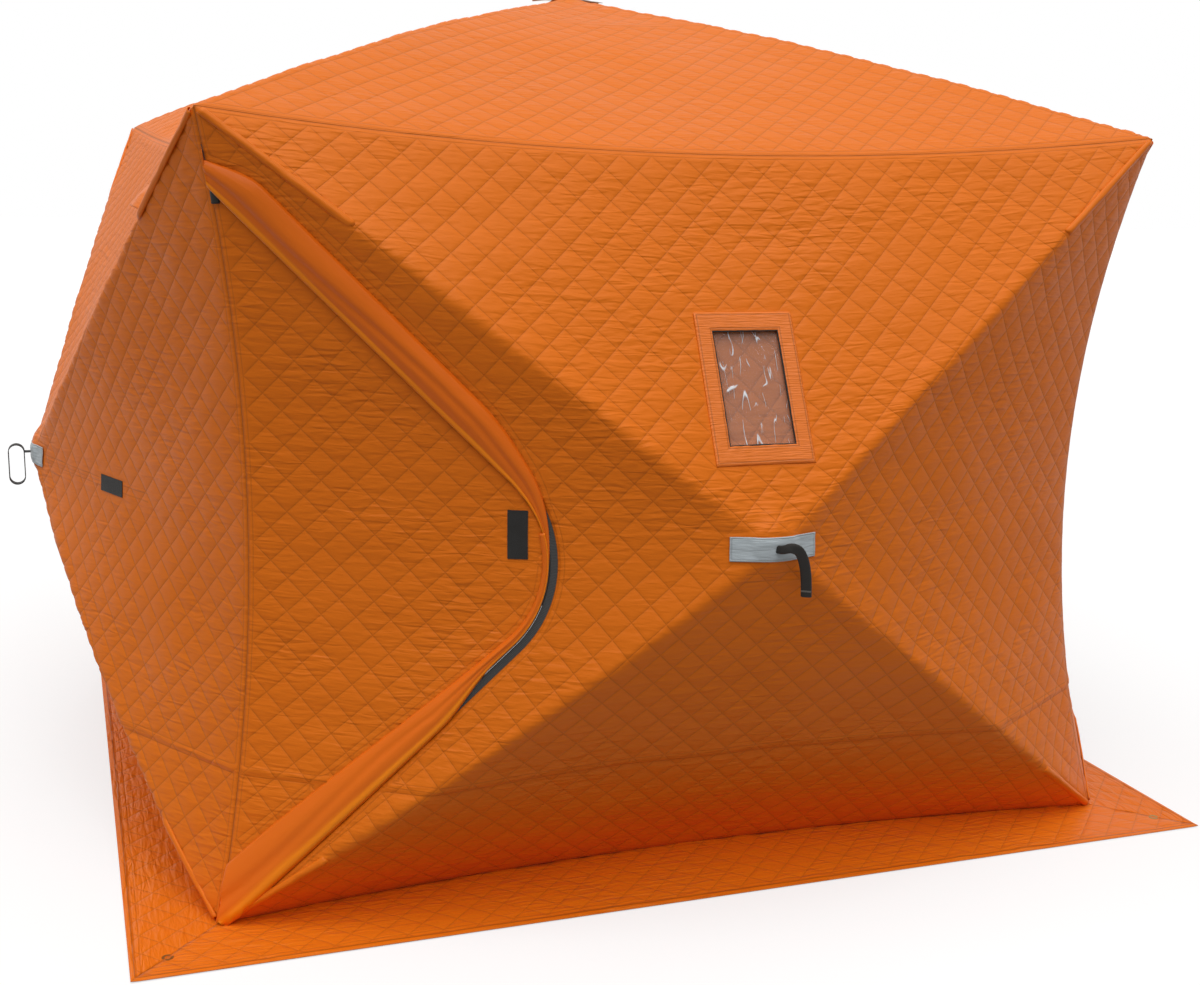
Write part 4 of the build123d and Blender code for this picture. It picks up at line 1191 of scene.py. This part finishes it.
def hub_patch_piece(context, wall, material):
    """A band of grey tape over a hub: it follows the raised cloth over the cap, on the roof no lower than a
    dome that falls off to its ends, with small noise."""
    s = context.scene.shelter_sizes
    half_x, half_z = HUB_TAPE
    x, z = np.meshgrid(np.linspace(-half_x, half_x, 58), np.linspace(-half_z, half_z, 20), indexing="ij")
    skin = Skin(s)
    if wall == "roof":
        points = over_cap(skin.point(x / s.floor_half, z / s.floor_half, roof=True, soft=0.012), skin.top, 2,
                          0.0006)
        dome = 0.0075 * (np.abs(x) / half_x) ** 1.3 + 0.003 * (z / half_z) ** 2
        height = np.maximum(points[..., 2] + 0.0022, skin.top[2] + 0.0012 - dome)
        points[..., 2] = height + 0.0009 * noise(x / 0.03, z / 0.012, 61)
    else:
        points = over_cap(skin.lay(x, z + s.hub_height, np.full(x.shape, 0.001)), skin.tip, 1, 0.0024)
        points[..., 1] -= 0.0022 + 0.0012 * noise(x / 0.035, z / 0.012, 63)
        points = turned(points, WALLS[wall])
    border = np.minimum(half_x - np.abs(x), half_z - np.abs(z))
    patch = add_mesh(f"{wall}_hub_patch", points, quads(58, 20), np.stack([x, z], -1), {"hem": border})
    dress(patch, material, "shelter", ["hub_patches"], None, 0.0015, 0.0)


def patch_material(colour):
    """Grey retroreflective tape cloth: glass beads give it a pale, even sheen; it is stitched near its
    border."""
    material, tree = material_tree("grey_reflective_tape")
    place = cloth_space(tree)
    border = add(tree, "Attribute", attribute_name="hem", out=2)
    thread = near_line(tree, border, STITCH, 0.0004, 0.0012)
    beads = add(tree, "TexNoise", {"Vector": place, "Scale": 900.0, "Detail": 1.0})
    crease = relief_noise(tree, place, 0.05, 0.008, detail=2.0, warp=0.4)
    height = total_height(tree, [(crease, 0.0026), (thread, -0.0006), (beads, 0.00008)])
    tone = add(tree, "Mix", {0: beads, 6: rgba(colour, 0.82), 7: rgba(colour, 1.15)}, **COLOUR_MIX)
    tone = add(tree, "Mix", {0: add(tree, "Math", {0: thread, 1: 0.4}, operation="MULTIPLY"), 6: tone,
                             7: rgba(colour, 0.35)}, **COLOUR_MIX)
    return surface(material, height, 1.0,
                   {"Base Color": tone, "Roughness": 0.42, "IOR": 1.5, "Sheen Weight": 0.3})


STRAP_PATH = ((0.0, 0.000, 0.0), (0.002, -0.018, 0.002), (0.014, -0.031, 0.010), (0.030, -0.036, 0.004),
              (0.042, -0.034, -0.018), (0.052, -0.027, -0.048), (0.059, -0.018, -0.078),
              (0.063, -0.012, -0.100))
STRAP_AROUND = 28    # points round the strap


def front_strap(context):
    """The front hub's pull strap: doubled webbing that comes out rolled, arches to the right and hangs
    down. Its section is a rounded box, swept along a smoothed path, that widens and flattens as it turns
    from edge to face."""
    tip = Skin(context.scene.shelter_sizes).tip
    key = np.array(STRAP_PATH)
    t = np.linspace(0, 1, 57)
    path = np.stack([np.interp(t, np.linspace(0, 1, len(key)), key[:, i]) for i in range(3)], -1)
    for _ in range(12):
        path[1:-1] = (path[:-2] + 2 * path[1:-1] + path[2:]) / 4
    along = unit(np.gradient(path, axis=0))
    share = smooth(0.15, 0.55, t)[:, None]
    across = unit(np.array([0.10, 0.25, 1.0]) * (1 - share) + np.array([0.80, -0.55, 0.12]) * share)
    across = unit(across - along * (across * along).sum(-1, keepdims=True))
    face = np.cross(along, across)
    angle = np.linspace(0, 2 * math.pi, STRAP_AROUND + 1)[:-1][None, :]
    rolled = 1 - smooth(0.10, 0.45, t)[:, None]
    half_w, half_t = 0.0085 * rolled + 0.0112 * (1 - rolled), 0.0070 * rolled + 0.0024 * (1 - rolled)
    c, d = np.cos(angle), np.sin(angle)
    u = np.sign(c) * np.abs(c) ** 0.45 * half_w
    w = np.sign(d) * np.abs(d) ** 0.7 * half_t - 0.0008 * np.cos(angle * 2) * (1 - rolled)
    ring = path[:, None, :] + across[:, None, :] * u[..., None] + face[:, None, :] * w[..., None]
    ends = (path[i, None, None, :].repeat(STRAP_AROUND, 1) for i in (0, -1))
    points = tip + np.concatenate([next(ends), ring, next(ends)])
    strap = add_mesh("front_pull_strap_web", points, quads(len(points), STRAP_AROUND, around=True),
                     np.zeros(points.shape[:2] + (2,)))
    strap.data.validate()
    dress(strap, webbing_material(context), "shelter", ["front_pull_strap"])
    x, y = np.meshgrid(np.linspace(-0.0105, 0.0105, 15), np.linspace(-0.002, 0.002, 5), indexing="ij")
    stitch = tip + path[-6] + across[-6] * x[..., None] + along[-6] * y[..., None] + face[-6] * 0.0033
    bar = add_mesh("front_strap_stitching", stitch, quads(15, 5), np.zeros((15, 5, 2)))
    thread = grained("grey_stitching_thread", "4A4642", "7A746C", 900.0, 0.0004, 0.6)
    dress(bar, thread, "shelter", (), None, 0.0006, 0.0)


SLEEVES = ((-1, 1, 0.26), (1, 1, 0.26), (-1, -1, 0.20), (1, -1, 0.20))    # a corner, and how far in a or b
SLEEVE_HALF, SLEEVE_RISE = 0.0085, 0.0036    # half a sleeve's width in a or b, and its height in metres


def sleeve_piece(context, wall, material):
    """Sleeves of smooth cloth over the ends of a wall's poles: low half tubes along the last part of each
    ridge."""
    s = context.scene.shelter_sizes
    skin = Skin(s)
    parts, faces, uvs = [], [], []
    rows, columns = 44, 11
    for ca, cb, reach in SLEEVES:
        m, o = np.meshgrid(np.linspace(1 - reach, 0.988, rows), np.linspace(-1, 1, columns), indexing="ij")
        side = o * SLEEVE_HALF * (1 - 0.25 * (m - 1 + reach) / reach)
        a, b = ca * (m + side).clip(-1, 1), cb * (m - side).clip(-1, 1)
        base = skin.point(a, b, soft=0.004)
        wave = 0.0006 * noise(m * 60, o * 2, 7)
        lift = 0.0010 + SLEEVE_RISE * np.sqrt(np.clip(1 - o**2, 0, 1)) * smooth(0, 0.01, m - 1 + reach) + wave
        normal = unit(np.cross(np.gradient(base, axis=0), np.gradient(base, axis=1)))
        if (normal @ np.array([0, -1.0, 0])).mean() < 0:
            normal = -normal
        faces.append(quads(rows, columns)[:, ::1 if ca * cb < 0 else -1] + len(parts) * rows * columns)
        parts.append((base + normal * lift[..., None]).reshape(-1, 3))
        uvs.append(np.stack([m, o * 0.009], -1).reshape(-1, 2))
    sleeves = add_mesh(f"{wall}_pole_sleeves", turned(np.concatenate(parts), WALLS[wall]),
                       np.concatenate(faces), np.concatenate(uvs))
    dress(sleeves, material, "shelter", (), None, 0.0010, -1.0)


EYELET_IN, EYELET_R = 0.075, 0.0070    # an eyelet's place in from both sides of a corner, and its hole


def skirt_piece(context, wall, seed, material):
    """One side of the ground skirt: straight lines from the wall's curved foot to a folded hem, raised by
    crinkles of noise and low diamonds, which die out at the mitres and the eyelets."""
    s = context.scene.shelter_sizes
    half, outer = s.floor_half, s.floor_half + s.skirt_width
    rows = np.concatenate([[0.0], np.linspace(0.03, 0.92, 16), [0.932, 0.945, 0.96, 0.98, 0.993, 1.0]])
    u, v = np.meshgrid(np.linspace(-1, 1, 181), rows, indexing="ij")
    inner = np.stack([u * half, -half + s.floor_pull * (1 - u**2) + 0.002], -1)
    border = np.stack([u * outer, np.full(u.shape, -outer)], -1)
    place = inner + (border - inner) * v[..., None]
    x, y = place[..., 0], place[..., 1]
    cell = DIAMOND / DIAGONAL
    p, q = (x + y) / cell, (x - y) / cell
    mitre = (outer - np.abs(x) - (outer + y)).clip(0)
    eyelet = np.hypot(np.abs(x) - (outer - EYELET_IN), y + outer - EYELET_IN)
    crinkle = 0.0022 * noise(x / 0.055, y / 0.040, seed) ** 2
    crinkle = crinkle + 0.0016 * np.abs(noise(x / 0.11, y / 0.03, seed + 1))
    puff = 0.0012 * diamond(p, q) * smooth(0.99, 0.9, v) * smooth(0.0, 0.02, mitre)
    hem = 0.0012 * smooth(0.932, 0.945, v) * (1 - smooth(0.985, 1.0, v) * 0.8)
    seam = 0.0010 * (1 - smooth(0.0, 0.006, mitre))
    z = 0.0032 + (crinkle + puff) * smooth(0.012, 0.03, eyelet) * smooth(1.0, 0.93, v) + hem + seam
    z = z + 0.0035 * (1 - smooth(0.0, 0.06, v)) * np.abs(noise(x / 0.07, v, seed + 5))
    faces = quads(*v.shape)[:, ::-1]
    faces = faces[~(eyelet < EYELET_R).ravel()[faces].any(1)]
    piece = add_mesh(f"{wall}_skirt_cloth", turned(np.stack([x, y, z], -1), WALLS[wall]), faces,
                     np.stack([(p + q) / 2, (p - q) / 2], -1),
                     {"hem": (1 - v) * s.skirt_width - 0.009, "flat": smooth(0.93, 0.945, v)})
    dress(piece, material, "shelter", [f"{wall}_skirt"], None, 0.0018, -1.0)


def hardware(context):
    """Gives the frame's own nodes their materials."""
    nylon = grained("moulded_glass_filled_nylon", "0C0C0D", "232325", 700.0, 0.0003, 0.48)
    rod = grained("pultruded_glass_fibre", "1B1B1A", "3A3A37", 500.0, 0.0002, 0.35)
    brass = grained("dulled_rolled_brass", "8A6A34", "C9A35C", 350.0, 0.0003, 0.36, metallic=1.0)
    hook = grained("woven_hook_tape", "060504", "15120E", 620.0, 0.0012, 0.85, sheen=0.05)
    webbing = webbing_material(context)
    finishes = {"hubs corner_joints": nylon, "wall_poles roof_poles": rod, "skirt_grommets": brass,
                "door_tape tie_back_tape": hook, "guy_tabs right_pull_strap back_pull_strap": webbing,
                "left_pull_strap roof_pull_strap": webbing}
    for names, material in finishes.items():
        for name in names.split():
            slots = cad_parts[name].data.materials
            for i in range(len(slots)):
                slots[i] = material
            if not slots:
                slots.append(material)


# ---- stage ---------------------------------------------------------------------------------------

FLOOR_LIGHT = 0.28   # linear white of the floor for the light it sends back to the tent
FLOOR_SEEN = 0.42    # and as it is seen, with FLOOR_GLOW added so that it runs out to white
FLOOR_GLOW = 0.62


def soft_sun(direction, angle, power):
    """One very wide, even light, like an overcast sky or a large softbox far away."""
    data = bpy.data.lights.new("overhead_softbox", "SUN")
    data.energy, data.angle = power, angle
    light = bpy.data.objects.new("overhead_softbox", data)
    back = unit(np.array(direction, float))
    side = unit(np.cross([0.0, 1.0, 0.0], back))
    matrix = np.eye(4)
    matrix[:3, 0], matrix[:3, 1], matrix[:3, 2], matrix[:3, 3] = side, np.cross(back, side), back, back * 8.0
    light.matrix_world = Matrix(matrix.tolist())
    bpy.context.scene.collection.objects.link(light)


def seen_directly(tree):
    """1 for the camera's rays and for those by way of a gloss or a see-through film, 0 for all other
    light."""
    path = add(tree, "LightPath")
    seen = add(tree, "Math", {0: path, 1: path.node.outputs["Is Glossy Ray"]}, operation="MAXIMUM")
    seen = add(tree, "Math", {0: seen, 1: path.node.outputs["Is Transmission Ray"]}, operation="MAXIMUM")
    return seen


def make_stage(context):
    """A pale floor that runs out to white, soft light from high up, and the camera."""
    stage = context.scene.shelter_stage
    half, z = 40.0, -0.0005
    corners = [(-half, -half, z), (half, -half, z), (half, half, z), (-half, half, z)]
    floor = add_mesh("studio_floor", corners, np.array([[0, 1, 2, 3]]))
    material, tree = material_tree("matt_white_floor")
    seen = seen_directly(tree)
    colour = add(tree, "Mix", {0: seen, 6: rgba([FLOOR_LIGHT] * 3), 7: rgba([FLOOR_SEEN] * 3)}, **COLOUR_MIX)
    paint = add(tree, "BsdfDiffuse", {"Color": colour})
    glow = add(tree, "Emission", {"Color": (1, 1, 1, 1), "Strength": FLOOR_GLOW})
    both = add(tree, "AddShader", {0: paint, 1: glow})
    add(tree, "OutputMaterial", {"Surface": add(tree, "MixShader", {0: seen, 1: paint, 2: both})})
    floor.data.materials.append(material)
    world = bpy.data.worlds.new("soft_room")
    context.scene.world = world
    world.use_nodes = True
    tree = world.node_tree
    tree.nodes.clear()
    seen = seen_directly(tree)
    strength = add(tree, "MapRange", {"Value": seen, "To Min": stage.fill, "To Max": 1.0})
    add(tree, "OutputWorld",
        {"Surface": add(tree, "Background", {"Color": (1, 1, 1, 1), "Strength": strength})})
    soft_sun(stage.light_direction, stage.light_angle, stage.light_power)
    camera_data = bpy.data.cameras.new("camera")
    camera_data.lens = stage.lens
    camera_data.shift_x, camera_data.shift_y = stage.shift
    camera = bpy.data.objects.new("camera", camera_data)
    yaw, pitch, roll = stage.view_angles
    forward = np.array([math.sin(yaw) * math.cos(pitch), math.cos(yaw) * math.cos(pitch), math.sin(pitch)])
    level = np.array([math.cos(yaw), -math.sin(yaw), 0.0])
    upright = np.cross(level, forward)
    right = math.cos(roll) * level + math.sin(roll) * upright
    up = -math.sin(roll) * level + math.cos(roll) * upright
    matrix = np.eye(4)
    matrix[:3, 0], matrix[:3, 1], matrix[:3, 2], matrix[:3, 3] = right, up, -forward, stage.camera_place
    camera.matrix_world = Matrix(matrix.tolist())
    context.scene.collection.objects.link(camera)
    context.scene.camera = camera
    context.scene.view_settings.view_transform = "Standard"


class StageLook(bpy.types.PropertyGroup):
    """The camera and the light."""
    camera_place: FloatVectorProperty(name="Camera", default=(-1.34169, -4.09545, 1.56376), size=3,
                                      subtype="TRANSLATION", unit="LENGTH",
                                      description="Where the camera stands")
    view_angles: FloatVectorProperty(name="View angles", default=(0.34084, -0.21188, 0.02301), size=3,
                                     description="Turn to the right of +Y, tilt up and roll, in radians")
    lens: FloatProperty(name="Lens", default=45.517,
                        description="Focal length on a 36 mm wide sensor, in millimetres")
    shift: FloatVectorProperty(name="Shift", default=(0.004617, 0.004325), size=2, description="Lens shift")
    light_direction: FloatVectorProperty(name="Light from", default=(-0.15, -0.28, 1.0), size=3,
                                         subtype="DIRECTION",
                                         description="Direction the soft light comes from")
    light_angle: FloatProperty(name="Light angle", default=math.radians(75), subtype="ANGLE",
                               description="How wide the light looks from the tent")
    light_power: FloatProperty(name="Light strength", default=2.5, min=0.0,
                               description="Strength of the soft light")
    fill: FloatProperty(name="Fill", default=0.22, min=0.0, description="Light from the white room around")


class SHELTER_OT_walls(bpy.types.Operator):
    """Make the quilted cloth of the four walls"""
    bl_idname = "shelter.walls"
    bl_label = "Walls"
    bl_options = {"REGISTER", "UNDO"}

    def execute(self, context):
        for place, wall in enumerate(WALLS):
            wall_sheet(context, wall, 11 + 7 * place)
        return {"FINISHED"}


class SHELTER_OT_roof(bpy.types.Operator):
    """Make the quilted cloth of the roof"""
    bl_idname = "shelter.roof"
    bl_label = "Roof"
    bl_options = {"REGISTER", "UNDO"}

    def execute(self, context):
        roof_sheet(context)
        return {"FINISHED"}


class SHELTER_OT_door(bpy.types.Operator):
    """Make the door's cloth, its flaps, its zip and the tab over it"""
    bl_idname = "shelter.door"
    bl_label = "Door"
    bl_options = {"REGISTER", "UNDO"}

    def execute(self, context):
        door_cloth(context)
        door_flaps(context)
        zip_pieces(context)
        return {"FINISHED"}


class SHELTER_OT_windows(bpy.types.Operator):
    """Make the binding, piping, film and inner cover of both windows"""
    bl_idname = "shelter.windows"
    bl_label = "Windows"
    bl_options = {"REGISTER", "UNDO"}

    def execute(self, context):
        for wall in ("front", "back"):
            window_trim(context, wall)
            window_layers(context, wall)
        return {"FINISHED"}


class SHELTER_OT_vents(bpy.types.Operator):
    """Make the cloth hoods over the two vents"""
    bl_idname = "shelter.vents"
    bl_label = "Vent hoods"
    bl_options = {"REGISTER", "UNDO"}

    def execute(self, context):
        cloth = plain_cloth("coated_nylon_hood", list(context.scene.cloth_colours.shell),
                            roughness=0.45, folds=0.8, across=0.04, up=0.012)
        for wall in ("left", "right"):
            vent_piece(context, wall, cloth)
        return {"FINISHED"}


class SHELTER_OT_hub_fittings(bpy.types.Operator):
    """Make the grey patches over the hubs and the front pull strap"""
    bl_idname = "shelter.hub_fittings"
    bl_label = "Hub patches and strap"
    bl_options = {"REGISTER", "UNDO"}

    def execute(self, context):
        tape = patch_material(list(context.scene.cloth_colours.patch))
        for wall in list(WALLS) + ["roof"]:
            hub_patch_piece(context, wall, tape)
        front_strap(context)
        return {"FINISHED"}


class SHELTER_OT_sleeves(bpy.types.Operator):
    """Make the sleeves over the ends of the poles"""
    bl_idname = "shelter.sleeves"
    bl_label = "Pole sleeves"
    bl_options = {"REGISTER", "UNDO"}

    def execute(self, context):
        cloth = plain_cloth("smooth_polyester_sleeve", list(context.scene.cloth_colours.shell),
                            roughness=0.45, folds=0.35, across=0.05, up=0.006)
        for wall in WALLS:
            sleeve_piece(context, wall, cloth)
        return {"FINISHED"}


class SHELTER_OT_skirts(bpy.types.Operator):
    """Make the four sides of the ground skirt"""
    bl_idname = "shelter.skirts"
    bl_label = "Skirts"
    bl_options = {"REGISTER", "UNDO"}

    def execute(self, context):
        cloth = quilted_cloth("quilted_polyester_skirt", list(context.scene.cloth_colours.shell), DIAMOND,
                              roughness=0.45, puckers=1.6)
        for place, wall in enumerate(WALLS):
            skirt_piece(context, wall, 201 + 9 * place, cloth)
        return {"FINISHED"}


class SHELTER_OT_hardware(bpy.types.Operator):
    """Give the poles, hubs, straps, tapes and eyelets their materials"""
    bl_idname = "shelter.hardware"
    bl_label = "Frame materials"
    bl_options = {"REGISTER", "UNDO"}

    def execute(self, context):
        hardware(context)
        return {"FINISHED"}


class SHELTER_OT_stage(bpy.types.Operator):
    """Make the floor, the light and the camera"""
    bl_idname = "shelter.stage"
    bl_label = "Stage"
    bl_options = {"REGISTER", "UNDO"}

    def execute(self, context):
        make_stage(context)
        return {"FINISHED"}


OPERATORS = (SHELTER_OT_walls, SHELTER_OT_roof, SHELTER_OT_door, SHELTER_OT_windows, SHELTER_OT_vents,
             SHELTER_OT_hub_fittings, SHELTER_OT_sleeves, SHELTER_OT_skirts, SHELTER_OT_hardware,
             SHELTER_OT_stage)


class SHELTER_PT_sidebar(bpy.types.Panel):
    """Lists the shelter's pieces in the sidebar"""
    bl_idname = "SHELTER_PT_sidebar"
    bl_label = "Ice shelter"
    bl_space_type = "VIEW_3D"
    bl_region_type = "UI"
    bl_category = "Shelter"

    def draw(self, _context):
        """A button for each operator."""
        for operator in OPERATORS:
            self.layout.operator(operator.bl_idname)


GROUPS = {"shelter_sizes": ShelterSizes, "quilt_look": QuiltLook, "cloth_colours": ClothColours,
          "shelter_stage": StageLook}
CLASSES = tuple(GROUPS.values()) + OPERATORS + (SHELTER_PT_sidebar,)


def register():
    """Registers the classes and gives each scene its settings."""
    for kind in CLASSES:
        bpy.utils.register_class(kind)
    for name, kind in GROUPS.items():
        setattr(bpy.types.Scene, name, PointerProperty(type=kind))


def unregister():
    """Takes the settings and classes away again."""
    for name in GROUPS:
        delattr(bpy.types.Scene, name)
    for kind in reversed(CLASSES):
        bpy.utils.unregister_class(kind)


def main():
    """Runs the operators in order."""
    register()
    for operator in OPERATORS:
        section, name = operator.bl_idname.split(".")
        getattr(getattr(bpy.ops, section), name)()
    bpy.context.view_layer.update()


if __name__ == "__main__":
    main()
